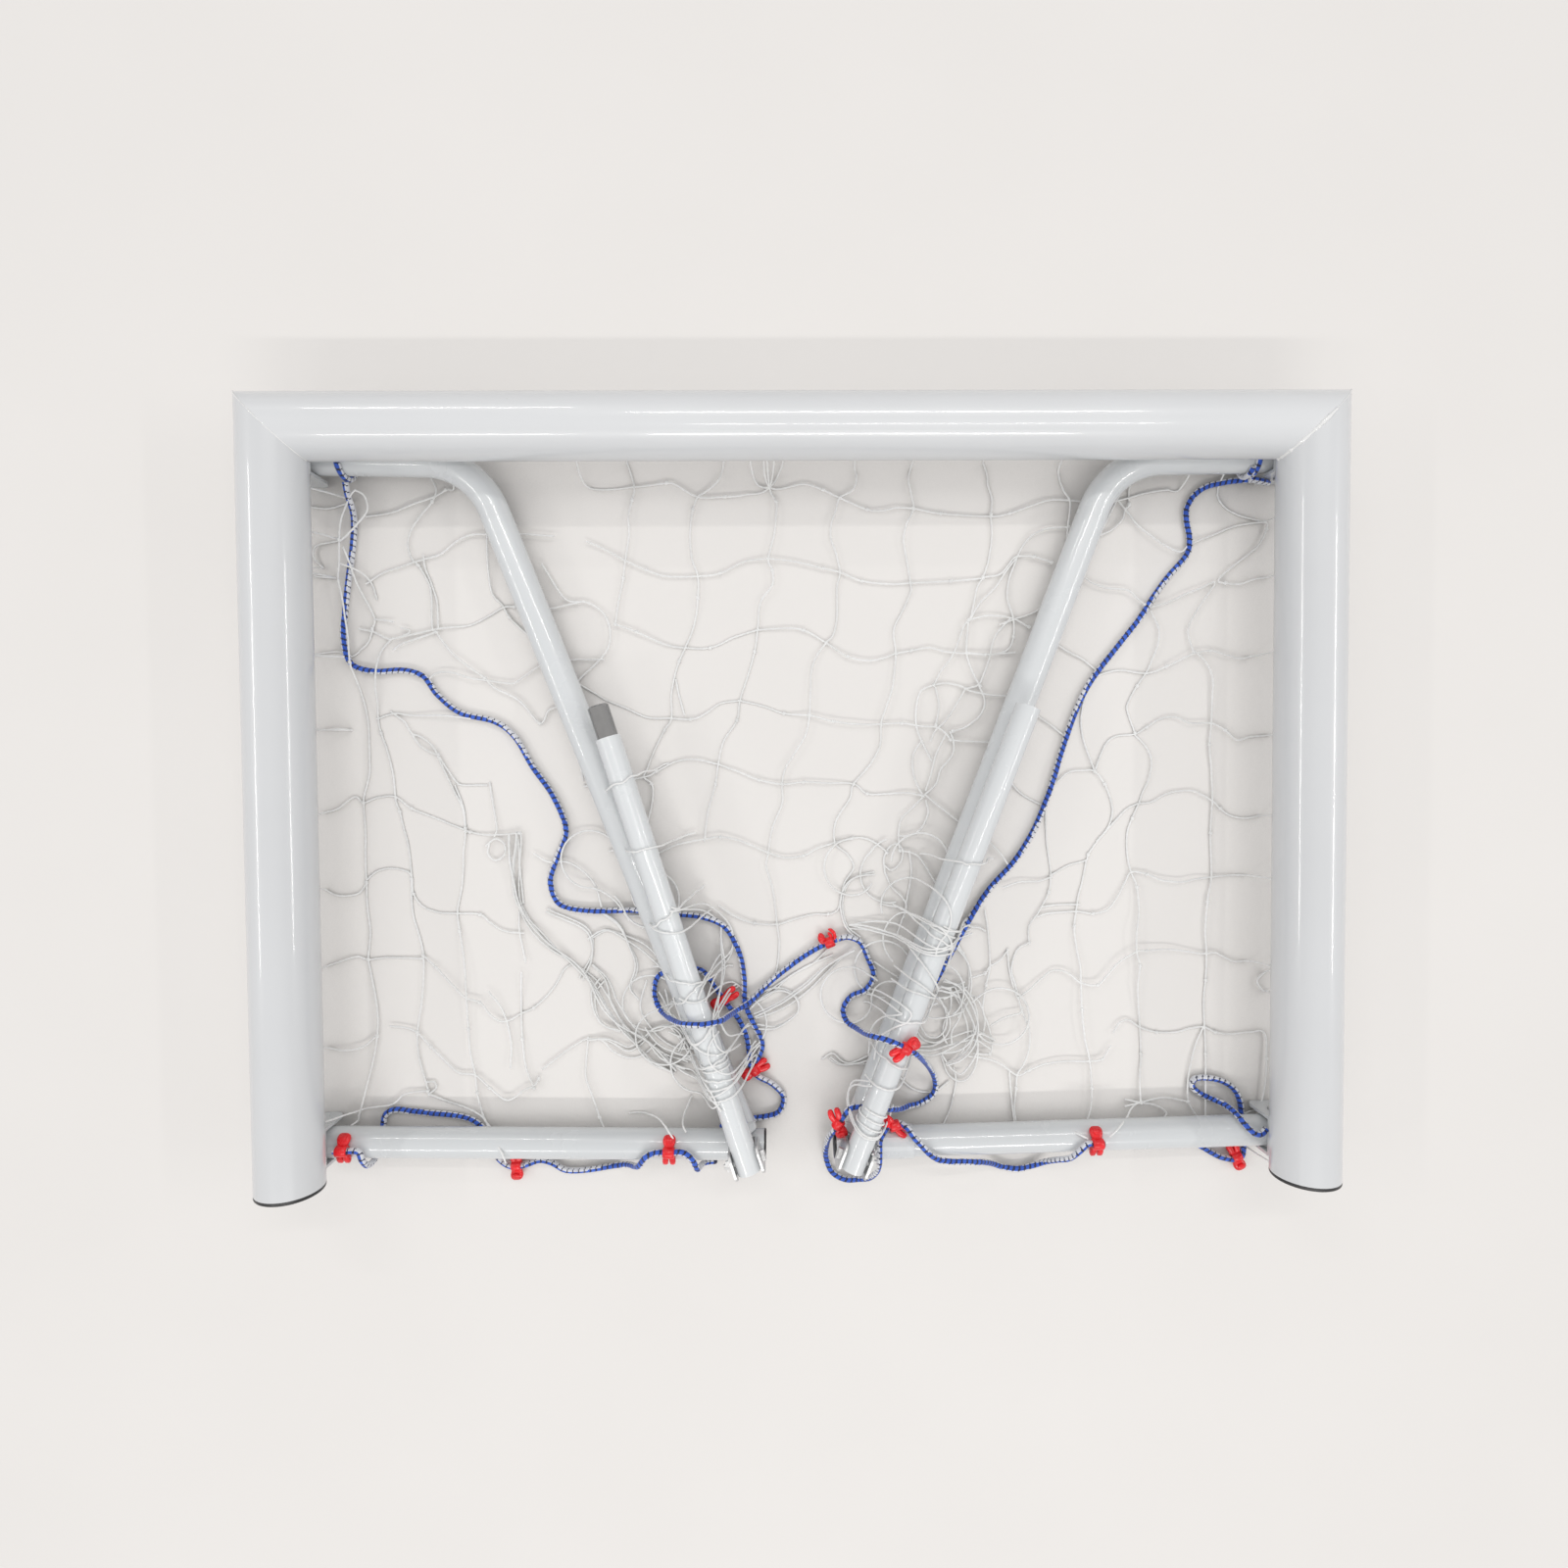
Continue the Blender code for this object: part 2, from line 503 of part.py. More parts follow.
def stanchion(side, name):
    """The bent tube: a short stub behind the crossbar, then a slant to the rear corner."""
    stub = Vector((math.cos(SIDE_DROOP), -math.sin(SIDE_DROOP)))
    knee = Vector((KNEE_OUT, KNEE_UP))
    foot = Vector((SIDE_DEPTH, CORNER_UP))
    slant = (foot - knee).normalized()
    turn = math.acos(max(-1, min(1, stub.dot(slant))))
    tangent = BEND_R * math.tan(turn / 2)
    bend_from = knee - stub * tangent
    centre = bend_from + Vector((stub.y, -stub.x)) * BEND_R
    begin = Vector((TUBE_START, STUB_UP + tube_up(TUBE_START)))
    route = [(begin, stub)]
    for i in range(BEND_STEPS + 1):
        angle = turn * i / BEND_STEPS
        way = Vector((stub.x * math.cos(angle) + stub.y * math.sin(angle),
                      stub.y * math.cos(angle) - stub.x * math.sin(angle)))
        route.append((centre + Vector((-way.y, way.x)) * BEND_R, way))
    route.append((foot, slant))
    stations = [(on_side(side, p.x, p.y, SIDE_Z), across_of(side, way)) for p, way in route]
    tube = made_object(f"{name}_stanchion", pipe_mesh(stations, SIDE_TUBE_R, SIDE_WALL, SIDE_SIDES), white_paint)
    hinge = on_side(side, 0, STUB_UP, SIDE_Z)
    cut(tube, cope_tool(hinge, KNUCKLE_R, ALONG_Y, KNUCKLE_LENGTH))
    lie = Vector((-side * math.cos(SIDE_DROOP), -math.sin(SIDE_DROOP), 0))
    cut(tube, cope_tool(on_side(side, SIDE_DEPTH, CORNER_UP, SIDE_Z), SIDE_TUBE_R, lie, 3 * SIDE_TUBE_R))
    return tube


def ground_tube(side, name):
    """The tube that lies on the ground in use."""
    way = (math.cos(SIDE_DROOP), -math.sin(SIDE_DROOP))
    stations = []
    for out in (TUBE_START, SIDE_DEPTH + SIDE_TAIL):
        stations.append((on_side(side, out, tube_up(out), SIDE_Z), across_of(side, way)))
    tube = made_object(f"{name}_ground_tube", pipe_mesh(stations, SIDE_TUBE_R, SIDE_WALL, SIDE_SIDES), white_paint)
    cut(tube, cope_tool(on_side(side, 0, 0, SIDE_Z), KNUCKLE_R, ALONG_Y, KNUCKLE_LENGTH))
    return tube


def tube_way(side):
    """The direction of a ground tube, from its hinge to the rear corner."""
    return Vector((-side * math.cos(SIDE_DROOP), -math.sin(SIDE_DROOP), 0))


def tube_sleeve(side, name):
    """The short sleeve that thickens a ground tube beside the rear corner."""
    bore = SIDE_TUBE_R + GAP
    outer = bore + SLEEVE_WALL
    profile = ((bore, SLEEVE_FROM), (outer, SLEEVE_FROM), (outer, SLEEVE_TO), (bore, SLEEVE_TO))
    base = on_side(side, 0, 0, SIDE_Z)
    mesh = turned_mesh(base, tube_way(side), profile, SIDE_SIDES, closed=True)
    return made_object(f"{name}_tube_sleeve", mesh, white_paint)


def tube_plug(side, name):
    """The plastic plug in the rear end of a ground tube."""
    way = Vector((-side * math.cos(SIDE_DROOP), -math.sin(SIDE_DROOP), 0))
    end = SIDE_DEPTH + SIDE_TAIL
    plug_r = SIDE_TUBE_R - SIDE_WALL - GAP
    profile = ((plug_r, -PLUG_LENGTH), (plug_r, GAP), (SIDE_TUBE_R, GAP), (SIDE_TUBE_R, PLUG_LIP),
               (SIDE_TUBE_R - PLUG_LIP / 2, PLUG_LIP + PLUG_LIP / 2))
    base = on_side(side, end, tube_up(end), SIDE_Z)
    return made_object(f"{name}_tube_plug", turned_mesh(base, way, profile, SIDE_SIDES), black_plastic)


def bar_frame(side, lean):
    """Where a rear bar half pivots, the way it points when folded, and the way of its bolt."""
    pivot = on_side(side, SIDE_DEPTH, CORNER_UP, BAR_Z)
    way = Vector((side * math.sin(lean), math.cos(lean), 0))
    return pivot, way, Vector((way.y, -way.x, 0))


def clevis(side, name, lean):
    """A U of plate on top of the rear corner, with an ear each side of the bar's end."""
    pivot, way, bolt = bar_frame(side, lean)
    inner = BAR_R + CLEVIS_CLEARANCE
    outer = inner + CLEVIS_PLATE
    floor = SIDE_Z + SIDE_TUBE_R + GAP - BAR_Z
    profile = ((-outer, floor), (outer, floor), (outer, CLEVIS_RISE), (inner, CLEVIS_RISE),
               (inner, floor + CLEVIS_PLATE), (-inner, floor + CLEVIS_PLATE),
               (-inner, CLEVIS_RISE), (-outer, CLEVIS_RISE))
    start = pivot - way * CLEVIS_BACK
    length = way * (CLEVIS_BACK + CLEVIS_FRONT)
    piece = made_object(f"{name}_clevis", extruded_mesh(profile, start, bolt, UP, length), galvanised)
    ear = rounded_outline((-CLEVIS_BACK, 2 * floor), (CLEVIS_FRONT, CLEVIS_RISE),
                          (0, 0, CLEVIS_CORNER_R, CLEVIS_CORNER_R))
    beyond = bolt * 2 * outer
    rounded = extruded_mesh(ear, pivot - beyond, way, UP, beyond * 2)
    combine(piece, tool_object(rounded), "INTERSECT")
    cut(piece, tool_object(rod_mesh(pivot - beyond, pivot + beyond, BOLT_R + GAP, SMALL_SIDES)))
    return piece


def bar_bolt(side, name, lean):
    """A hexagon bolt through the clevis and the bar, and its nut."""
    pivot, _, bolt = bar_frame(side, lean)
    way = bolt * side
    face = BAR_R + CLEVIS_CLEARANCE + CLEVIS_PLATE + GAP
    shank_end = face + NUT_HEIGHT + BOLT_TAIL
    head = turned_mesh(pivot - way * (face + BOLT_HEAD), way, ((BOLT_HEAD_R, 0), (BOLT_HEAD_R, BOLT_HEAD)), 6)
    piece = made_object(f"{name}_bar_bolt", head, galvanised)
    shank = rod_mesh(pivot - way * (face + BOLT_HEAD / 2), pivot + way * shank_end, BOLT_R, SMALL_SIDES)
    join(piece, tool_object(shank))
    nut = turned_mesh(pivot + way * face, way, ((BOLT_HEAD_R, 0), (BOLT_HEAD_R, NUT_HEIGHT)), 6)
    nut = made_object(f"{name}_bar_nut", nut, galvanised)
    end = pivot + way * (shank_end + NUT_HEIGHT)
    cut(nut, tool_object(rod_mesh(pivot, end, BOLT_R + GAP, SMALL_SIDES)))
    return [piece, nut]


def rear_bar(side, name, lean, length):
    """One half of the rear bar, folded up beside its stanchion."""
    pivot, way, bolt = bar_frame(side, lean)
    stations = ((pivot - way * BAR_HEEL, bolt), (pivot + way * length, bolt))
    bar = made_object(f"{name}_rear_bar", pipe_mesh(stations, BAR_R, BAR_WALL, SIDE_SIDES), white_paint)
    reach = bolt * 2 * BAR_R
    cut(bar, tool_object(rod_mesh(pivot - reach, pivot + reach, BOLT_R + GAP, SMALL_SIDES)))
    return bar


def spigot():
    """The bare steel sleeve in the left half's free end, which enters the right half."""
    pivot, way, _ = bar_frame(-1, LEFT_BAR_LEAN)
    radius = BAR_R - BAR_WALL - SPIGOT_CLEARANCE
    bore = radius - SPIGOT_WALL
    top = SPIGOT_HIDDEN + SPIGOT_LENGTH
    profile = ((bore, 0), (radius, 0), (radius, top - SPIGOT_CHAMFER), (radius - SPIGOT_CHAMFER, top), (bore, top))
    base = pivot + way * (LEFT_BAR_LENGTH - SPIGOT_HIDDEN)
    return made_object("left_spigot", turned_mesh(base, way, profile, SIDE_SIDES, closed=True), bright_steel)


def smooth_route(points, step):
    """Points at even steps along a Catmull-Rom curve through a route's own points."""
    spots = [Vector(p) for p in points]
    spots = [2 * spots[0] - spots[1]] + spots + [2 * spots[-1] - spots[-2]]
    fine = []
    parts = 12
    for a, b, c, d in zip(spots, spots[1:], spots[2:], spots[3:]):
        for i in range(parts):
            t = i / parts
            fine.append(0.5 * (2 * b + (c - a) * t + (2 * a - 5 * b + 4 * c - d) * t * t
                               + (3 * b - a - 3 * c + d) * t ** 3))
    fine.append(spots[-2])
    lengths = [0.0]
    for a, b in zip(fine, fine[1:]):
        lengths.append(lengths[-1] + (b - a).length)
    count = max(2, round(lengths[-1] / step))
    even, k = [], 0
    for i in range(count + 1):
        want = lengths[-1] * i / count
        while k < len(fine) - 2 and lengths[k + 1] < want:
            k += 1
        share = (want - lengths[k]) / (lengths[k + 1] - lengths[k])
        even.append(fine[k].lerp(fine[k + 1], min(1, share)))
    return even


def share_between(value, low, high):
    return min(1, max(0, (value - low) / (high - low)))


def axis_out(up, knee, corner):
    """How far out a stanchion's axis is at this height, for this knee and rear corner."""
    return corner[0] + (knee[0] - corner[0]) * share_between(up, corner[1], knee[1])


def route_out_up(out, up):
    """Where a point of a rope's drawn route lies on the side frame as it is built."""
    drawn = axis_out(up, ROUTE_KNEE, ROUTE_CORNER)
    up += (KNEE_UP - ROUTE_KNEE[1]) * share_between(up, *ROUTE_UPPER_HALF)
    built = axis_out(up, (KNEE_OUT, KNEE_UP), (SIDE_DEPTH, CORNER_UP))
    near = share_between(out, ROUTE_CLEAR_OF_POST, ROUTE_NEAR_STANCHION * drawn)
    return out + (built - drawn) * near, up


def on_route(side, out, up, z):
    return on_side(side, *route_out_up(out, up), z)


def rope_line(side, route, step=ROPE_STEP):
    line = smooth_route([on_route(side, *p) for p in route], step)
    return [Vector((p.x, p.y, max(p.z, ROPE_Z))) for p in line]


def rope(side, name, route):
    """A round braided rope along its route, as a bevelled curve with filled ends."""
    line = rope_line(side, route)
    curve = bpy.data.curves.new(name, "CURVE")
    curve.dimensions = "3D"
    curve.bevel_depth = ROPE_R
    curve.bevel_resolution = 2
    curve.use_fill_caps = True
    spline = curve.splines.new("POLY")
    spline.points.add(len(line) - 1)
    for point, at in zip(spline.points, line):
        point.co = (*at, 1)
    curve.materials.append(blue_rope(name))
    made = bpy.data.objects.new(name, curve)
    bpy.context.collection.objects.link(made)
    return made


def rope_tie(side, name, out):
    """A turn of rope pulled flat round the stub of the stanchion, from which a rope hangs."""
    way = Vector((-side * math.cos(SIDE_DROOP), -math.sin(SIDE_DROOP), 0))
    thick = ROPE_R * TIE_SQUEEZE
    middle = SIDE_TUBE_R + GAP + thick
    profile = []
    for i in range(6):
        turn = 2 * math.pi * i / 6
        profile.append((middle + thick * math.cos(turn), ROPE_R / TIE_SQUEEZE * math.sin(turn)))
    base = on_side(side, out, STUB_UP + tube_up(out), SIDE_Z)
    return made_object(f"{name}_rope_tie", turned_mesh(base, way, profile, SIDE_SIDES, closed=True), blue_rope)


def tube_clip(side, name, out):
    """A red clip sprung over a ground tube: an eye for the rope on top, a knob at the
    inner end and a forked foot on the ground at the outer end."""
    axis = on_side(side, out, tube_up(out), SIDE_Z)
    way = tube_way(side)
    away = Vector((side * way.y, -side * way.x, 0))
    away = away if away.y < 0 else -away
    width = way * CLIP_WIDTH
    start = axis - width / 2
    inner = SIDE_TUBE_R + GAP
    outer = inner + CLIP_BAND
    steps = 8
    turns = [CLIP_FROM + (CLIP_TO - CLIP_FROM) * i / steps for i in range(steps + 1)]
    band = [(outer * math.cos(a), outer * math.sin(a)) for a in turns]
    band += [(inner * math.cos(a), inner * math.sin(a)) for a in reversed(turns)]
    piece = made_object(name, extruded_mesh(band, start, away, UP, width), red_plastic)
    eye = axis + UP * (CLIP_TOP_Z - SIDE_Z)
    trim = way * 0.0005
    join(piece, tool_object(rod_mesh(eye - width / 2 - trim, eye + width / 2 + trim, EYE_R, SMALL_SIDES)))
    middle = inner + CLIP_BAND / 2
    knob = axis + away * middle * math.cos(CLIP_TO) + UP * middle * math.sin(CLIP_TO)
    join(piece, tool_object(rod_mesh(knob - width / 2 + trim, knob + width / 2 - trim, CLIP_KNOB_R, 10)))
    foot = axis + away * CLIP_FOOT[0] + UP * (CLIP_FOOT[1] - SIDE_Z)
    join(piece, tool_object(rod_mesh(foot - width / 2 - trim, foot + width / 2 + trim, CLIP_FOOT_R, 10)))
    low = Vector((middle * math.cos(CLIP_FROM / 2), middle * math.sin(CLIP_FROM / 2)))
    run = Vector((CLIP_FOOT[0], CLIP_FOOT[1] - SIDE_Z)) - low
    thick = Vector((-run.y, run.x)).normalized() * CLIP_WEB / 2
    web = [low - thick, low + run - thick, low + run + thick, low + thick]
    join(piece, tool_object(extruded_mesh(web, start + trim * 2, away, UP, width - trim * 4)))
    cut(piece, cope_tool(axis, SIDE_TUBE_R, way, CLIP_WIDTH))
    cut(piece, tool_object(rod_mesh(eye - width, eye + width, ROPE_R + 3 * GAP, SMALL_SIDES)))
    slot = [(CLIP_FOOT[0] - 0.002, -SIDE_Z), (2 * CLIP_FOOT[0], -SIDE_Z),
            (2 * CLIP_FOOT[0], 0), (CLIP_FOOT[0] - 0.002, 0)]
    between = axis - way * CLIP_FORK / 2
    cut(piece, tool_object(extruded_mesh(slot, between, away, UP, way * CLIP_FORK)))
    return piece


def rope_clip(side, name, route, near, turn, aside):
    """A red clip loose on a rope: an eye round the rope and a flat body with a forked end."""
    line = rope_line(side, route)
    spot = on_route(side, *near, 0)
    middles = [(a + b) / 2 for a, b in zip(line, line[1:])]
    k = min(range(len(middles)), key=lambda i: (middles[i].xy - spot.xy).length)
    at = middles[k]
    way = (line[k + 1] - line[k]).normalized()
    square = way.cross(UP).normalized() * side
    rise = square.cross(way).normalized()
    rise = rise if rise.z > 0 else -rise
    body = (Matrix.Rotation(math.radians(turn), 3, rise) @ square).normalized()
    across = rise.cross(body)
    half = way * ROPE_CLIP_WIDTH / 2
    piece = made_object(name, rod_mesh(at - half, at + half, EYE_R, SMALL_SIDES), red_plastic)
    long = ROPE_CLIP_LENGTH / 2
    wide = ROPE_CLIP_WIDTH / 2 - 0.0005
    outline = rounded_outline((-long, -wide), (long, wide), (wide * 0.9,) * 4, 3)
    low = at + body * aside - rise * ROPE_CLIP_THICK / 2
    join(piece, tool_object(extruded_mesh(outline, low, body, across, rise * ROPE_CLIP_THICK)))
    slot = [(long - ROPE_CLIP_FORK, -CLIP_FORK / 2), (2 * long, -CLIP_FORK / 2),
            (2 * long, CLIP_FORK / 2), (long - ROPE_CLIP_FORK, CLIP_FORK / 2)]
    below = low - rise * ROPE_CLIP_THICK
    cut(piece, tool_object(extruded_mesh(slot, below, body, across, rise * 3 * ROPE_CLIP_THICK)))
    reach = way * ROPE_CLIP_LENGTH
    cut(piece, tool_object(rod_mesh(at - reach, at + reach, ROPE_R + 2 * GAP, SMALL_SIDES)))
    return piece


def waved(x, y):
    """Moves a point of the straight net to where the slack twine lies."""
    dx = math.sin(23 * y + 3.1 * x) + 0.6 * math.sin(41 * y - 17 * x + 1.3)
    dy = math.sin(21 * x - 2.7 * y + 0.8) + 0.6 * math.sin(39 * x + 19 * y)
    return x + NET_WAVE * dx, y + NET_WAVE * dy


def net_panel(name, keep, cuts):
    """Part of the slack net on the ground, as one lattice of twine. keep says which
    meshes belong to it, and each cut is a point and a direction to clear."""
    mesh = bmesh.new()
    columns = 2 * round(NET_REACH / NET_MESH)
    rows = round((NET_TOP - GROUND_Y - NET_HEM) / NET_MESH)
    wide = 2 * NET_REACH / columns
    tall = (NET_TOP - GROUND_Y - NET_HEM) / rows
    corners = {}
    for i in range(columns + 1):
        for j in range(rows + 1):
            corners[i, j] = mesh.verts.new((-NET_REACH + wide * i, NET_TOP - tall * j, 0))
    for i in range(columns):
        for j in range(rows):
            middle = Vector((-NET_REACH + wide * (i + 0.5), NET_TOP - tall * (j + 0.5)))
            if keep(middle):
                mesh.faces.new((corners[i, j + 1], corners[i + 1, j + 1], corners[i + 1, j], corners[i, j]))
    loose = [v for v in mesh.verts if not v.link_faces]
    bmesh.ops.delete(mesh, geom=loose, context="VERTS")
    bmesh.ops.subdivide_edges(mesh, edges=mesh.edges, cuts=1, use_only_quads=True)
    for vert in mesh.verts:
        edge = min(1, (NET_REACH - abs(vert.co.x)) / wide, (NET_TOP - vert.co.y) / tall,
                   (vert.co.y - GROUND_Y - NET_HEM) / tall + 0.2)
        x, y = waved(vert.co.x, vert.co.y)
        vert.co = vert.co.lerp(Vector((x, y, 0)), max(0, edge))
    for at, clear in cuts:
        geometry = mesh.verts[:] + mesh.edges[:] + mesh.faces[:]
        bmesh.ops.bisect_plane(mesh, geom=geometry, plane_co=at, plane_no=clear, clear_outer=True)
        bmesh.ops.remove_doubles(mesh, verts=mesh.verts, dist=NET_MESH / 6)
    for vert in mesh.verts:
        vert.co.z = NET_LIFT + TWINE / 2
    for face in mesh.faces:
        face.normal_update()
    data = bpy.data.meshes.new(name)
    mesh.to_mesh(data)
    mesh.free()
    data.materials.append(white_twine(name))
    net = bpy.data.objects.new(name, data)
    bpy.context.collection.objects.link(net)
    wire = net.modifiers.new("twine", "WIREFRAME")
    wire.thickness = TWINE
    wire.use_even_offset = True
    wire.use_boundary = True
    return net


def stanchion_x(side, y):
    """Where the slanting part of a stanchion is at this height, on its axis."""
    out = KNEE_OUT + (KNEE_UP - (y - GROUND_Y)) * math.tan(RIGHT_BAR_LEAN)
    return side * (POST_X - out)


def nets():
    """Side nets under the side frames, and the rear net between the two stanchions."""
    slack = NET_MESH

    def beside(side):
        return lambda p: side * (p.x - stanchion_x(side, p.y)) > -slack / 2 and p.y < GROUND_Y + STUB_UP

    def between(p):
        inside = abs(p.x) < abs(stanchion_x(1, p.y)) + slack
        return inside and p.y > GROUND_Y + NET_ARCH - 0.35 * abs(p.x)

    made = {}
    lean = RIGHT_BAR_LEAN
    for side, name in ((-1, "left"), (1, "right")):
        inward = Vector((-side * math.cos(lean), math.sin(lean), 0))
        axis = Vector((stanchion_x(side, GROUND_Y), GROUND_Y, 0))
        cuts = [(axis - inward * NET_BESIDE_TUBE, inward)]
        made[name] = net_panel(f"{name}_side_net", beside(side), cuts)
    cuts = []
    for side in (-1, 1):
        inward = Vector((-side * math.cos(lean), math.sin(lean), 0))
        axis = Vector((stanchion_x(side, GROUND_Y), GROUND_Y, 0))
        cuts.append((axis + inward * NET_BESIDE_TUBE, -inward))
    made["rear"] = net_panel("rear_net", between, cuts)
    return made


def build():
    clear_scene()
    root = joint_empty("front_frame", (0, 0, 0))
    net = nets()
    front = front_frame() + [net["rear"]]
    clip_number = 1
    for side, name, lean, length in ((-1, "left", LEFT_BAR_LEAN, LEFT_BAR_LENGTH),
                                     (1, "right", RIGHT_BAR_LEAN, RIGHT_BAR_LENGTH)):
        tube_clips = LEFT_TUBE_CLIPS if side < 0 else RIGHT_TUBE_CLIPS
        rope_clips = LEFT_ROPE_CLIPS if side < 0 else RIGHT_ROPE_CLIPS
        carried = [stanchion(side, name), ground_tube(side, name), tube_plug(side, name),
                   clevis(side, name, lean), *bar_bolt(side, name, lean), net[name],
                   rope_tie(side, name, LEFT_TIE_OUT if side < 0 else RIGHT_TIE_OUT)]
        for level, up in (("lower", 0), ("upper", STUB_UP)):
            at = on_side(side, 0, up, SIDE_Z)
            front.append(hinge_bracket(f"{name}_{level}_hinge_bracket", at))
            front.append(hinge_pin(f"{name}_{level}_hinge_pin", at))
            carried.append(hinge_knuckle(f"{name}_{level}_hinge_knuckle", at))
        routes = ((LEFT_SIDE_ROPE, LEFT_LOOP_ROPE, LEFT_GROUND_ROPE) if side < 0 else
                  (RIGHT_SIDE_ROPE, RIGHT_LOOP_ROPE, RIGHT_CORNER_ROPE))
        for part, route in zip(("side", "loop", "ground"), routes):
            carried.append(rope(side, f"{name}_{part}_rope", route))
        if side > 0:
            carried.append(tube_sleeve(side, name))
        for out in tube_clips:
            carried.append(tube_clip(side, f"net_clip_{clip_number}", route_out_up(out, 0)[0]))
            clip_number += 1
        loose = []
        for clip in rope_clips:
            loose.append(rope_clip(side, f"net_clip_{clip_number}", *clip))
            clip_number += 1
        hinge = joint_empty(f"{name}_side_frame", on_side(side, 0, 0, SIDE_Z))
        carry(root, [hinge])
        carry(hinge, carried)
        swing = joint_empty(f"{name}_bar_half", bar_frame(side, lean)[0])
        carry(hinge, [swing])
        bars = [rear_bar(side, name, lean, length)]
        if side < 0:
            bars.append(spigot())
        else:
            bars.append(loose.pop(0))
        carry(hinge, loose)
        carry(swing, bars)
    carry(root, front)


build()
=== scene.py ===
"""The looks of the folding soccer goal: finishes, smooth tubes, welds, net, rope and clips.

Metres, in the part's own frame: +X along the crossbar to the right, +Y from the feet of
the posts to the crossbar, +Z up from the ground. The goal lies folded on the ground with
its front face up, and the camera looks down at it.
"""

import json
import math
import random

import bpy
from mathutils import Euler, Matrix, Vector
from mathutils.noise import noise as noise_at

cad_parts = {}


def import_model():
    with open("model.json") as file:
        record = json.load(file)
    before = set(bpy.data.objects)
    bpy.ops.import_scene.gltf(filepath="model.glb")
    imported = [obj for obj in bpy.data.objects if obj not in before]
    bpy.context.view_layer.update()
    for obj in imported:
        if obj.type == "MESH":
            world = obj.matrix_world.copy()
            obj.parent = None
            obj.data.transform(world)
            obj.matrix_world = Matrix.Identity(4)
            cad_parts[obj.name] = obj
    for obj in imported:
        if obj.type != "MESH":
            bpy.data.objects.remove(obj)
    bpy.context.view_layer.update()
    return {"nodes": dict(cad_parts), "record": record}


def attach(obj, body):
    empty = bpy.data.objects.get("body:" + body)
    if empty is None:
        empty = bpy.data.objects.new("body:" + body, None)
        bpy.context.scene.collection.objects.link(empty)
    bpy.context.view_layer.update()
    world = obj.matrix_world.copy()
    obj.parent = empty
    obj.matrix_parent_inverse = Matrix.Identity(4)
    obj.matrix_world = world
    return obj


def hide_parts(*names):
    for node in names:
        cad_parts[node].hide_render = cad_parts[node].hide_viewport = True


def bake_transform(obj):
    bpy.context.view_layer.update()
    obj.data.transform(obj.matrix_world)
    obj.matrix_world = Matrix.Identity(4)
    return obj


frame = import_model()

# The part's own sizes, as in its source
OPENING_WIDTH = 1.200
OPENING_HEIGHT = 0.900
FRAME_TUBE_R = 0.040
FRAME_WALL = 0.002
CAP_LIP = 0.005
SIDE_TUBE_R = 0.020
SIDE_WALL = 0.002
SIDE_DEPTH = 0.570
SIDE_TAIL = 0.022
SIDE_DROOP = math.radians(1.1)
GROUND_RISE = 0.028
STUB_DROP = 0.016
KNEE_OUT = 0.223
BEND_R = 0.100
FLOOR_GAP = 0.012
BRACKET_PLATE = 0.004
TUBE_START = 0.012
BAR_R = 0.016
BAR_WALL = 0.002
BAR_LIFT = 0.010
BAR_HEEL = 0.014
LEFT_BAR_LENGTH = 0.5685
LEFT_BAR_LEAN = math.radians(17.4)
ROPE_R = 0.004
TWINE_R = 0.00122
GAP = 0.0003

UP = Vector((0, 0, 1))
ALONG_X = Vector((1, 0, 0))
ALONG_Y = Vector((0, 1, 0))
TURN = 2 * math.pi
SIDES = ((-1, "left"), (1, "right"))

POST_X = OPENING_WIDTH / 2 + FRAME_TUBE_R
POST_LENGTH = OPENING_HEIGHT + FRAME_TUBE_R
CROSSBAR_Y = (POST_LENGTH + FRAME_TUBE_R + CAP_LIP) / 2 - FRAME_TUBE_R
GROUND_Y = CROSSBAR_Y - POST_LENGTH + GROUND_RISE
STUB_UP = CROSSBAR_Y - STUB_DROP - GROUND_Y
SIDE_Z = FLOOR_GAP + SIDE_TUBE_R
BRACKET_TOP = SIDE_Z + SIDE_TUBE_R + 2 * GAP + BRACKET_PLATE
FRAME_Z = BRACKET_TOP + GAP + FRAME_TUBE_R
BAR_Z = SIDE_Z + SIDE_TUBE_R + BAR_LIFT + BAR_R
CORNER_UP = -SIDE_DEPTH * math.tan(SIDE_DROOP)
KNEE_UP = STUB_UP - KNEE_OUT * math.tan(SIDE_DROOP)
RIGHT_BAR_LEAN = math.atan2(SIDE_DEPTH - KNEE_OUT, KNEE_UP - CORNER_UP)
RIGHT_BAR_LENGTH = 2 * (POST_X - (BAR_Z - SIDE_Z)) - LEFT_BAR_LENGTH - 0.0005

# The photograph's camera
PICTURE = 1600
FOCAL_PIXELS = 860
CAMERA_AT = Vector((-0.0325, 0.042, 1.145))
CAMERA_TURN = Euler((math.radians(-1.62), math.radians(-0.77), math.radians(-0.42)))
SENSOR = 36.0


def seen_at(px, py, z):
    """The point at height z that the photograph shows at this pixel."""
    ray = Vector(((px - PICTURE / 2) / FOCAL_PIXELS, (PICTURE / 2 - py) / FOCAL_PIXELS, -1))
    ray.rotate(CAMERA_TURN)
    return CAMERA_AT + ray * ((z - CAMERA_AT.z) / ray.z)


def on_side(side, out, up, z):
    """A point of a side frame: out from its hinge, up along the post, and above ground."""
    return Vector((side * (POST_X - out), GROUND_Y + up, z))


def off_hinge(side):
    """The way of a side frame's stub and ground tube, away from the hinge."""
    return Vector((-side * math.cos(SIDE_DROOP), -math.sin(SIDE_DROOP), 0))


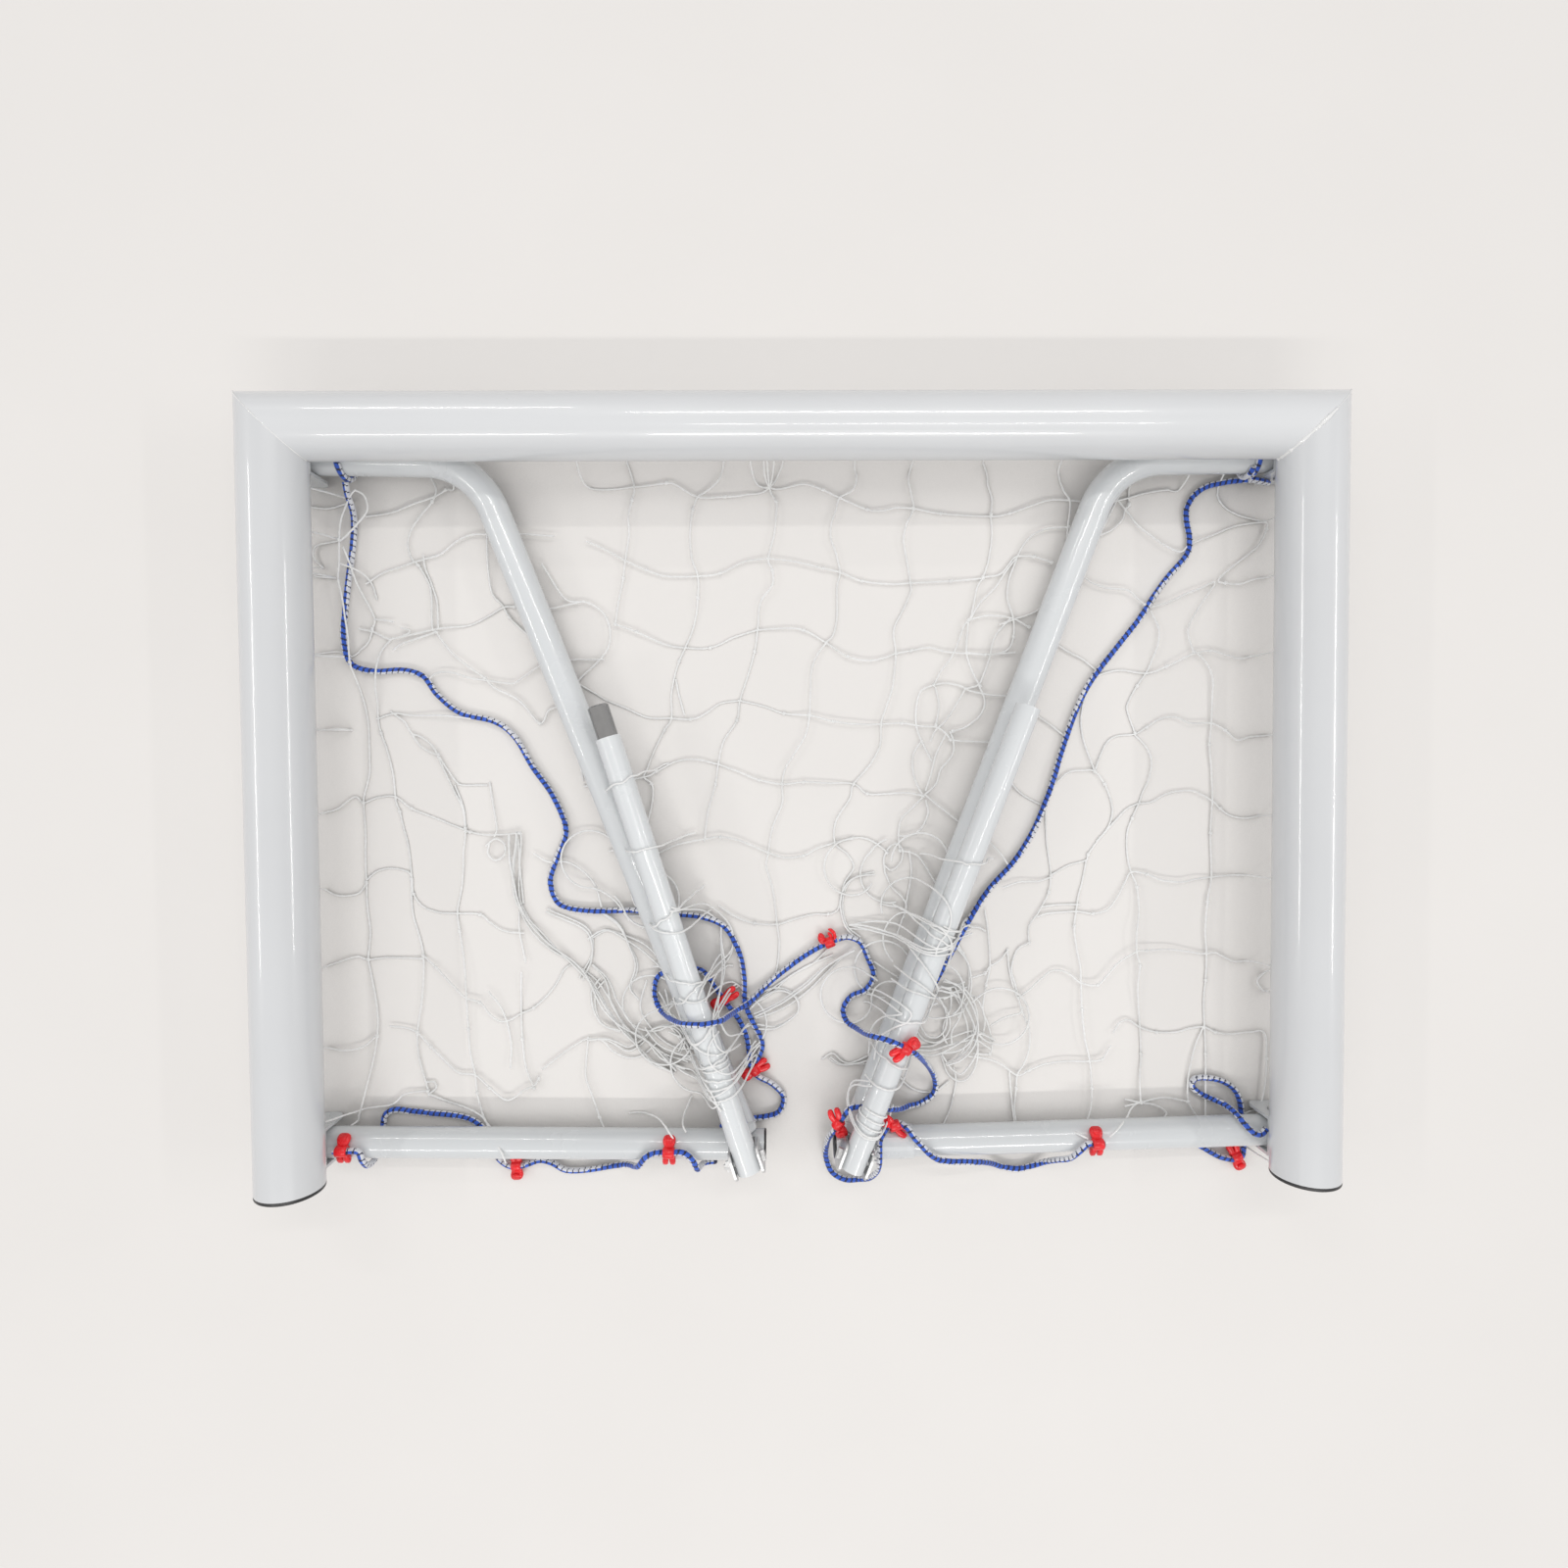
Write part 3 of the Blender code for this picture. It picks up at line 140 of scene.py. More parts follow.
def side_body(side):
    return f"{dict(SIDES)[side]}_side_frame"


# Materials

def shader_of(name):
    made = bpy.data.materials.new(name)
    made.use_nodes = True
    return made, made.node_tree, made.node_tree.nodes["Principled BSDF"]


def set_on(made, **values):
    """Sets a shader node's properties and unlinked inputs."""
    for key, value in values.items():
        if hasattr(made, key):
            setattr(made, key, value)
        else:
            made.inputs[key.replace("_", " ")].default_value = value
    return made


def node(tree, kind, **values):
    return set_on(tree.nodes.new(f"ShaderNode{kind}"), **values)


def feed(socket, made, into):
    """Links an output to an input of a node, by the input's name or number."""
    made.id_data.links.new(socket, made.inputs[into])


def ramp(tree, source, *stops):
    """What a ramp makes of source, with two stops of (place, grey or colour)."""
    made = node(tree, "ValToRGB")
    for element, (place, colour) in zip(made.color_ramp.elements, stops):
        element.position = place
        element.color = (*colour, 1) if isinstance(colour, tuple) else (colour, colour, colour, 1)
    feed(source, made, "Fac")
    return made.outputs["Color"]


def noise(tree, scale, detail, stretch=None):
    """Noise over a piece's own coordinates, which stay on it as it moves."""
    at = node(tree, "TexCoord").outputs["Object"]
    if stretch:
        mapping = node(tree, "Mapping", Scale=stretch)
        feed(at, mapping, "Vector")
        at = mapping.outputs["Vector"]
    made = node(tree, "TexNoise", Scale=scale, Detail=detail)
    feed(at, made, "Vector")
    return made.outputs["Fac"]


def bump(tree, shader, scale, detail, strength, distance=0.0003):
    made = node(tree, "Bump", Strength=strength, Distance=distance)
    feed(noise(tree, scale, detail), made, "Height")
    feed(made.outputs["Normal"], shader, "Normal")


def shades(colour, *shares):
    return [tuple(min(1, c * share) for c in colour) for share in shares]


def painted(name, colour=(0.68, 0.69, 0.70), rough=0.30):
    """Gloss powder coat on steel tube: orange peel, faint clouding and a few grey scuffs."""
    made, tree, shader = shader_of(name)
    set_on(shader, Coat_Weight=0.7, Coat_Roughness=0.06)
    dull, pale = shades(colour, 0.985, 1.015)
    mix = node(tree, "Mix", data_type="RGBA", B=(0.60, 0.60, 0.58, 1))
    feed(ramp(tree, noise(tree, 150, 5, (1, 0.4, 1)), (0.77, 0), (0.83, 0.8)), mix, "Factor")
    feed(ramp(tree, noise(tree, 6, 4), (0.3, dull), (0.7, pale)), mix, "A")
    feed(mix.outputs["Result"], shader, "Base Color")
    gloss = ramp(tree, noise(tree, 25, 5), (0.35, rough * 0.92), (0.75, rough * 1.12))
    feed(gloss, shader, "Roughness")
    bump(tree, shader, 420, 2, 0.10, 0.0004)
    return made


def drifting(name, base, gloss, grain, **values):
    """A material whose colour and roughness drift between two stops, with a fine grain. The
    first two numbers of each are the scale and detail of its noise, and the third number of
    the grain is its strength."""
    made, tree, shader = shader_of(name)
    set_on(shader, **values)
    for into, row in (("Base Color", base), ("Roughness", gloss)):
        if row:
            feed(ramp(tree, noise(tree, *row[:2]), *row[2:]), shader, into)
    bump(tree, shader, *grain)
    return made


def moulded(name, colour, rough):
    """Moulded plastic: fine grain, a little colour drift and flow marks."""
    deep, pale = shades(colour, 0.82, 1.12)
    return drifting(name, (60, 3, (0.3, deep), (0.75, pale)),
                    (150, 3, (0.3, rough * 0.75), (0.8, rough * 1.3)), (900, 2, 0.15))


def metal(name, colour, rough, spangle, depth):
    """Steel: drawn, or with a zinc spangle where that is finer and deeper."""
    deep, pale = shades(colour, depth, 1)
    return drifting(name, (spangle, 5, (0.25, deep), (0.75, pale)),
                    (220, 4, (0.3, rough * 0.7), (0.75, rough * 1.4)), (500, 3, 0.12), Metallic=1.0)


def cord_fibre(name, dark, pale):
    """A strand of the rope's braid: fine filaments along it, matt and slightly furred."""
    return drifting(name, (160, 4, (0.3, dark), (0.7, pale)), (300, 2, (0.3, 0.55), (0.7, 0.8)),
                    (1800, 2, 0.5), Sheen_Weight=0.25)


WHITE = painted("white_powder_coat")
# The corner welds' white paint, made lighter than the tubes' paint: a painted highlight on the beads.
WELD_PAINT_AND_HIGHLIGHT = painted("white_weld_paint_and_highlight", (0.84, 0.84, 0.83), 0.42)
SIDE_WHITE = painted("white_side_paint", (0.66, 0.68, 0.69), 0.26)
BLACK = moulded("black_plastic", (0.022, 0.022, 0.024), 0.42)
RED = moulded("red_plastic", (0.86, 0.014, 0.022), 0.27)
BRIGHT = metal("bright_drawn_steel", (0.33, 0.335, 0.34), 0.075, 40, 0.86)
ZINC = metal("zinc_plate", (0.76, 0.77, 0.78), 0.40, 90, 0.72)
TWINE = drifting("net_twine", (14, 4, (0.25, (0.76, 0.76, 0.745)), (0.6, (0.90, 0.90, 0.89))),
                 None, (1500, 2, 0.25), Roughness=0.75, Sheen_Weight=0.15)
ROPE_WHITE = cord_fibre("rope_white", (0.60, 0.61, 0.66), (0.82, 0.83, 0.86))
ROPE_BLUE = cord_fibre("rope_blue", (0.018, 0.075, 0.46), (0.045, 0.150, 0.70))
ROPE_NAVY = cord_fibre("rope_navy", (0.008, 0.010, 0.035), (0.018, 0.022, 0.075))


# Mesh helpers

ALL_SMOOTH = 180


def in_scene(name, data):
    made = bpy.data.objects.new(name, data)
    bpy.context.scene.collection.objects.link(made)
    return made


def add_object(name, verts, faces, material, sharp_from=35):
    """An object whose edges are sharp from an angle in degrees on."""
    data = bpy.data.meshes.new(name)
    data.from_pydata([tuple(v) for v in verts], [], faces)
    data.validate()
    data.update()
    data.shade_smooth()
    if sharp_from < ALL_SMOOTH:
        data.set_sharp_from_angle(angle=math.radians(sharp_from))
    data.materials.append(material)
    return in_scene(name, data)


def shares(steps):
    """From 0 to 1 in even steps."""
    return [i / steps for i in range(steps + 1)]


def ring(verts, sides, spot, half=0.0):
    """Adds the spot of each turn round a ring, from half a side on if asked for."""
    start = len(verts)
    for k in range(sides):
        verts.append(spot(TURN * (k + half) / sides))
    return list(range(start, start + sides))


def skin(faces, rings, closed=False):
    """Joins rings one after the other, back to the first or with a face at either end."""
    for low, high in zip(rings, rings[1:] + (rings[:1] if closed else [])):
        for i, corner in enumerate(low):
            j = (i + 1) % len(low)
            faces.append((corner, low[j], high[j], high[i]))
    if not closed:
        faces.append(tuple(reversed(rings[0])))
        faces.append(tuple(rings[-1]))


def round_spot(centre, across, rise, r, turn):
    return centre + across * (r * math.cos(turn)) + rise * (r * math.sin(turn))


def pipe(verts, faces, stations, radius, wall, sides):
    """A tube open at both ends. Each station is a centre and the vector across the tube
    there, longer than 1 where a mitre slants the section."""
    rings = []
    for r, row in ((radius, stations), (radius - wall, stations[::-1])):
        for centre, across in row:
            rings.append(ring(verts, sides, lambda turn: round_spot(centre, across, UP, r, turn), 0.5))
    skin(faces, rings, True)


def turned(verts, faces, base, axis, profile, sides, closed=False):
    """Turns a profile of (radius, height) points round an axis; closed leaves a bore."""
    place = Matrix.Translation(base) @ UP.rotation_difference(axis).to_matrix().to_4x4()
    rings = []
    for r, h in profile:
        rings.append(ring(verts, sides, lambda turn: place @ round_spot(
            UP * h, ALONG_X, ALONG_Y, r, turn), 0.5))
    skin(faces, rings, closed)


def frames_along(path):
    """For each point of a path, its direction and two vectors square to it that don't twist."""
    last = len(path) - 1
    ways = [(path[min(last, i + 1)] - path[max(0, i - 1)]).normalized() for i in range(last + 1)]
    across = ways[0].orthogonal().normalized()
    if abs(ways[0].dot(UP)) < 0.9:
        across = ways[0].cross(UP).normalized()
    found = []
    for i, way in enumerate(ways):
        if i:
            across = ways[i - 1].rotation_difference(way) @ across
            across = (across - way * across.dot(way)).normalized()
        found.append((way, across, way.cross(across)))
    return found


def cord_tube(verts, faces, path, radius, sides):
    """A tube along a path, whose radius goes by the point's number and the turn there."""
    rings = []
    for i, (at, (way, across, rise)) in enumerate(zip(path, frames_along(path))):
        rings.append(ring(verts, sides, lambda turn: round_spot(at, across, rise, radius(i, turn), turn)))
    skin(faces, rings)


def smooth_route(points, step):
    """Points at even steps along a Catmull-Rom curve through a route's own points."""
    spots = [Vector(p) for p in points]
    spots = [2 * spots[0] - spots[1]] + spots + [2 * spots[-1] - spots[-2]]
    fine = []
    parts = 12
    for a, b, c, d in zip(spots, spots[1:], spots[2:], spots[3:]):
        for i in range(parts):
            t = i / parts
            fine.append(0.5 * (2 * b + (c - a) * t + (2 * a - 5 * b + 4 * c - d) * t * t
                               + (3 * b - a - 3 * c + d) * t ** 3))
    fine.append(spots[-2])
    lengths = [0.0]
    for a, b in zip(fine, fine[1:]):
        lengths.append(lengths[-1] + (b - a).length)
    count = max(2, round(lengths[-1] / step))
    even = []
    k = 0
    for i in range(count + 1):
        want = lengths[-1] * i / count
        while k < len(fine) - 2 and lengths[k + 1] < want:
            k += 1
        share = (want - lengths[k]) / (lengths[k + 1] - lengths[k])
        even.append(fine[k].lerp(fine[k + 1], min(1, share)))
    return even


def stands_for(piece, body, slot, *nodes):
    """Puts a finished piece in the place of CAD nodes, on their body."""
    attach(piece, body)
    if nodes:
        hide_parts(*nodes)


def steel_tube(name, body, cad_name, material, stations, size):
    """A painted tube in the place of its CAD node. Its size is radius, wall and sides."""
    verts, faces = [], []
    pipe(verts, faces, stations, *size)
    stands_for(add_object(name, verts, faces, material), body, "white_paint", cad_name)


# Front frame

FRAME_SIDES = 96
SMALL_SIDES = 64
FRAME_TUBE = (FRAME_TUBE_R, FRAME_WALL, FRAME_SIDES)
SIDE_TUBE = (SIDE_TUBE_R, SIDE_WALL, SMALL_SIDES)
BAR_TUBE = (BAR_R, BAR_WALL, SMALL_SIDES)
SEAM = GAP / 2 * math.sqrt(2)
PLUG_DEPTH = 0.018
PLUG_CHAMFER = 0.002
LIP_ROUND = 0.002
LIP_STEPS = 4
CAP_DISH = ((0.031, 0), (0.0285, 0.0012), (0.010, 0.0014), (0.004, 0.0010))


def front_tubes():
    tops = [Vector((side * POST_X, CROSSBAR_Y, FRAME_Z)) for side, name in SIDES]
    stations = [(top - Vector((side * SEAM / 2, 0, 0)), Vector((side, 1, 0)))
                for top, (side, name) in zip(tops, SIDES)]
    steel_tube("crossbar_tube", "front_frame", "crossbar", WHITE, stations, FRAME_TUBE)
    for top, (side, name) in zip(tops, SIDES):
        foot = Vector((side * POST_X, CROSSBAR_Y - POST_LENGTH, FRAME_Z))
        stations = ((top - Vector((0, SEAM / 2, 0)), Vector((-side, -1, 0))),
                    (foot, Vector((-side, 0, 0))))
        steel_tube(f"{name}_post_tube", "front_frame", f"{name}_post", WHITE, stations, FRAME_TUBE)


front_tubes()


def post_caps():
    """Black caps with a rounded lip, slightly dished outside, plugged into the posts' feet."""
    plug = FRAME_TUBE_R - FRAME_WALL - GAP
    profile = [(plug - PLUG_CHAMFER, -PLUG_DEPTH), (plug, PLUG_CHAMFER - PLUG_DEPTH), (plug, GAP),
               (FRAME_TUBE_R, GAP)]
    for share in shares(LIP_STEPS):
        turn = TURN / 4 * share
        profile.append((FRAME_TUBE_R - LIP_ROUND * (1 - math.cos(turn)),
                        CAP_LIP - LIP_ROUND * (1 - math.sin(turn))))
    profile += [(r, CAP_LIP - dish) for r, dish in CAP_DISH]
    for side, name in SIDES:
        foot = Vector((side * POST_X, CROSSBAR_Y - POST_LENGTH, FRAME_Z))
        verts, faces = [], []
        turned(verts, faces, foot, -ALONG_Y, profile, FRAME_SIDES)
        stands_for(add_object(f"{name}_foot_cap", verts, faces, BLACK), "front_frame",
                   "black_plastic", f"{name}_post_cap")


post_caps()


# Side frames

BEND_STEPS = 18


def across_of(side, out, up):
    return Vector((side * up, out, 0)).normalized()


def side_route(side):
    """The stanchion's axis, from the stub behind the crossbar round the bend to the corner."""
    stub = Vector((math.cos(SIDE_DROOP), -math.sin(SIDE_DROOP)))
    knee = Vector((KNEE_OUT, KNEE_UP))
    foot = Vector((SIDE_DEPTH, CORNER_UP))
    slant = (foot - knee).normalized()
    bend = math.acos(stub.dot(slant))
    centre = knee - stub * BEND_R * math.tan(bend / 2) + Vector((stub.y, -stub.x)) * BEND_R
    route = [(Vector((TUBE_START, STUB_UP - TUBE_START * math.tan(SIDE_DROOP))), stub)]
    for share in shares(BEND_STEPS):
        angle = bend * share
        way = Vector((stub.x * math.cos(angle) + stub.y * math.sin(angle),
                      stub.y * math.cos(angle) - stub.x * math.sin(angle)))
        route.append((centre + Vector((-way.y, way.x)) * BEND_R, way))
    route.append((foot - slant * SIDE_TUBE_R * 0.9, slant))
    return [(on_side(side, p.x, p.y, SIDE_Z), across_of(side, way.x, way.y)) for p, way in route]


def side_tubes():
    for side, name in SIDES:
        body = side_body(side)
        steel_tube(f"{name}_bent_tube", body, f"{name}_stanchion", SIDE_WHITE, side_route(side),
                   SIDE_TUBE)
        across = across_of(side, math.cos(SIDE_DROOP), -math.sin(SIDE_DROOP))
        stations = []
        for out in (TUBE_START, SIDE_DEPTH + SIDE_TAIL):
            stations.append((on_side(side, out, -out * math.tan(SIDE_DROOP), SIDE_Z), across))
        steel_tube(f"{name}_floor_tube", body, f"{name}_ground_tube", SIDE_WHITE, stations,
                   SIDE_TUBE)


side_tubes()


def bar_line(side, lean, length):
    """Where a rear bar half pivots, the way it points when folded, the way of its bolt, and
    its length."""
    way = Vector((side * math.sin(lean), math.cos(lean), 0))
    return on_side(side, SIDE_DEPTH, CORNER_UP, BAR_Z), way, Vector((way.y, -way.x, 0)), length


BARS = {"left": bar_line(-1, LEFT_BAR_LEAN, LEFT_BAR_LENGTH),
        "right": bar_line(1, RIGHT_BAR_LEAN, RIGHT_BAR_LENGTH)}


def rear_bars():
    for name, (pivot, way, bolt, length) in BARS.items():
        stations = ((pivot - way * BAR_HEEL, bolt), (pivot + way * length, bolt))
        steel_tube(f"{name}_bar_tube", f"{name}_bar_half", f"{name}_rear_bar", SIDE_WHITE,
                   stations, BAR_TUBE)


rear_bars()


# The ropes, which lie on the net. The heights are those of a rope's centre, also in a clip's
# eye on the floor or on the net, on top of a ground tube, and over a bar half.

NET_TOP = 0.0002 + 0.0025
ROPE_Z = NET_TOP + GAP + ROPE_R
EYE_R = ROPE_R + GAP + 0.0032
CLIP_TOP_Z = SIDE_Z + SIDE_TUBE_R + 0.0070
HEIGHTS = {
    "eye": EYE_R + 0.001,
    "clip": NET_TOP + GAP + EYE_R,
    "top": CLIP_TOP_Z,
    "over": BAR_Z + BAR_R + ROPE_R + 0.003,
    "clip_over": BAR_Z + BAR_R + EYE_R + 0.0022,
}
RING_STEP = 0.0013
RING_SIDES = 16
STRANDS = 4
STRAND_LOW = 0.975
STRAND_RELIEF = 0.035
DASH_EVERY = 0.0078
BLUE_FACE = 0.60
NAVY_ON_BLUE = 0.34
NAVY_ON_WHITE = 0.18
STRAND_TURN = 0.62
LEAN = 0.75
LEAN_EVERY = 0.41
WOBBLE = 0.3
WOBBLE_LENGTH = 0.019

# Each rope with the side frame that carries it, where its blue side starts to lean, and its
# route, on the same line as its solid in the part: millimetres out from the hinge, up along
# the post and above the floor. A point with no height lies flat on the net.
ROPES = {
    "left_side_rope": (-1, 0.10, """
        55,866.7,32 55,852,26 55,828,11 51,790 45,750 39,705 36,668 45,635 75,624
        115,625 142,616 160,592 190,568 235,556 262,535 285,495 312,455 328,410 315,372
        306,340 318,310 355,300 420,300 465,295 510,290 542,275 560,240 566,205 567,172
        578,144 587,126 590,112 586,100,9 581,91,clip"""),
    "left_loop_rope": (-1, 0.55, """
        692.5,258.3,clip 684,255,clip 665,246,9 640,230 608,206 588,188,10 573,175,17
        556,169,34 546,171,66 538,173,90 519,172,over 496,170,93 481,166,70 464,163,32
        451,168,10 444,188 451,211 476,220 508,217,8 526,196,clip 543,172,clip 560,147
        569,125,8 573,104,clip 575,86,clip 584,72,9 604,60 619,42 612,21 588,14 560,11
        532,2"""),
    "left_ground_rope": (-1, 0.30, """
        34,-1,top 50,-1,top 66,-2,top 70,-14,57 70,-27,44 70,-30,28 70,-25,11 73,-9
        75,10 79,25 92,31 112,29 140,26 169,23 193,17 210,4 220,-16 230,-37 244,-47,eye
        256,-48,eye 268,-46,eye 286,-41 303,-45 322,-55 350,-55 385,-50 405,-45,14
        420,-38,34 428,-29,51 438,-14,60 450,-9,top 468,-9,top 486,-9,top 498,-18,59
        504,-34,51 506,-41,32 511,-44,14 525,-45"""),
    "right_side_rope": (1, 0.60, """
        41,867.1,32 32,866,31 21,865,28 11,865.5,21 12,869,13 22.4,873.5,9 45.1,872.9,8
        67.1,870 87,864.8 102.9,853.1 112.1,836.1 112,817.8 108,795 112,774 136,746
        155,720 175,690 213,642 243,603 264,560 281,510 298,455 318,405 345,362 380,323
        410,277 440,222 462,184 484,156"""),
    "right_loop_rope": (1, 0.15, """
        585.5,259,clip 572,261,9 555,253 545,232 537,208 548,188 568,179 579,162
        575,147,12 564,144,34 556,148,66 547,152,92 530,150,clip_over 514,143,clip_over
        497,132,100 481,113,70 464,86,30 454,62,10 456,44 473,31 490,30,14 505,34,32
        520,41,50 535,46,57 560,48,57 575,46,58 586,34,60 596,17,57 602,1,42 604,-18,22
        604,-40,9 596,-62 578,-73 559,-72,9 546,-63,24 539,-45,44 537,-28,57 537,-12,60
        536,4,59 528,16,54 519,21,48 508,21,48 499,17,55 491,7,60 482,-3,60 472,-14,60
        459,-24,56 441,-29,52 421,-32,47 404,-36,40 390,-42,28 376,-51,14 361,-59
        340,-62 318,-57 304,-49,14 294,-38,32 283,-29,47 274,-15,58 263,-4.7,top
        252,-4.7,top 241,-4.7,top"""),
    "right_ground_rope": (1, 0.80, """
        27,12,58 35,6,60 45,8,60 54,18,54 58,26,38 62,29,18 73,32 90,40 100,50 96,60
        78,61 58,56 43,46 34,30 31,10 29,-12 28,-33 31,-47,eye 40,-52,eye 51,-51,eye
        62,-48,eye 72,-43 94,-30 120,-18 150,-14"""),
}


def rope_route(name, step):
    """Points at even steps along a rope of the table."""
    side, _, text = ROPES[name]
    route = []
    for word in text.split():
        out, up, *height = word.split(",")
        z = ROPE_Z
        if height:
            z = HEIGHTS.get(height[0]) or float(height[0]) / 1000
        route.append(on_side(side, float(out) / 1000, float(up) / 1000, z))
    return smooth_route(route, step)


def tracer(along, turn, facing):
    """Which yarn shows on this face of the braid. The blue yarns lie together on one side,
    and slanted navy dashes cross both sides."""
    dash = (along / DASH_EVERY + turn / TURN) % 1
    if facing > BLUE_FACE:
        return 2 if dash < NAVY_ON_BLUE else 1
    return 2 if dash < NAVY_ON_WHITE and facing > -BLUE_FACE else 0


def braid(name, path, shift):
    """Braided rope: raised diamonds where one strand passes over another. The blue side is
    up, and leans to and fro."""
    def strand_r(i, turn):
        over = math.sin(STRANDS * turn + i * STRAND_TURN) * math.sin(STRANDS * turn - i * STRAND_TURN)
        return ROPE_R * (STRAND_LOW + STRAND_RELIEF * over)

    verts, faces, yarns = [], [], []
    cord_tube(verts, faces, path, strand_r, RING_SIDES)
    blue = UP
    for i, (way, across, rise) in enumerate(frames_along(path)[:-1]):
        level = UP - way * way.dot(UP)
        blue = level if level.length > 0.3 else blue - way * blue.dot(way)
        blue = blue.normalized()
        along = i * RING_STEP
        lean = LEAN * math.sin(TURN * (along / LEAN_EVERY + shift))
        lean += WOBBLE * math.sin(along / WOBBLE_LENGTH + 9 * shift)
        toward = blue * math.cos(lean) + way.cross(blue) * math.sin(lean)
        for k in range(RING_SIDES):
            turn = TURN * k / RING_SIDES
            out = across * math.cos(turn) + rise * math.sin(turn)
            yarns.append(tracer(along, turn, out.dot(toward)))
    yarns += [0, 0]
    made = add_object(name, verts, faces, ROPE_WHITE, ALL_SMOOTH)
    made.data.materials.append(ROPE_BLUE)
    made.data.materials.append(ROPE_NAVY)
    for face, yarn in zip(made.data.polygons, yarns):
        face.material_index = yarn
    return made


def sealed_tip(name, path):
    """Where a rope is cut and melted: a dark, slightly swollen tip."""
    verts, faces = [], []
    profile = [(0.0022, -0.004), (0.0041, -0.0036), (0.0044, -0.002), (0.0042, 0.0004),
               (0.0033, 0.0018), (0.0014, 0.0024)]
    turned(verts, faces, path[-1], (path[-1] - path[-3]).normalized(), profile, 16)
    return add_object(f"{name}_sealed_tip", verts, faces, ROPE_NAVY, 60)


def ropes():
    for name, (side, shift, _) in ROPES.items():
        path = rope_route(name, RING_STEP)
        made = braid(f"{name}_braid", path, shift)
        body = side_body(side)
        stands_for(made, body, "marker_rope", name)
        tips = []
        if name == "left_ground_rope":
            tips = [sealed_tip(name, path)]
            stands_for(tips[0], body, "marker_rope")


ropes()

TIE_TURNS = 1.12
TIE_STEPS = 74
TIE_LAY = 2.05 * 0.62 * ROPE_R


def rope_ties():
    """A turn of the rope pulled tight round the stub of each stanchion."""
    for (side, name), out in zip(SIDES, (0.057, 0.043)):
        way = off_hinge(side)
        across = Vector((-way.y, way.x, 0))
        base = on_side(side, out, STUB_UP - out * math.tan(SIDE_DROOP), SIDE_Z)
        path = []
        for share in shares(TIE_STEPS):
            path.append(round_spot(base + way * (TIE_LAY * TIE_TURNS * (share - 0.5)), across, UP,
                                   SIDE_TUBE_R + ROPE_R * 0.98, TURN * TIE_TURNS * share))
        made = braid(f"{name}_tie_turns", smooth_route(path, RING_STEP), 0.4)
        stands_for(made, side_body(side), "marker_rope", f"{name}_rope_tie")


rope_ties()
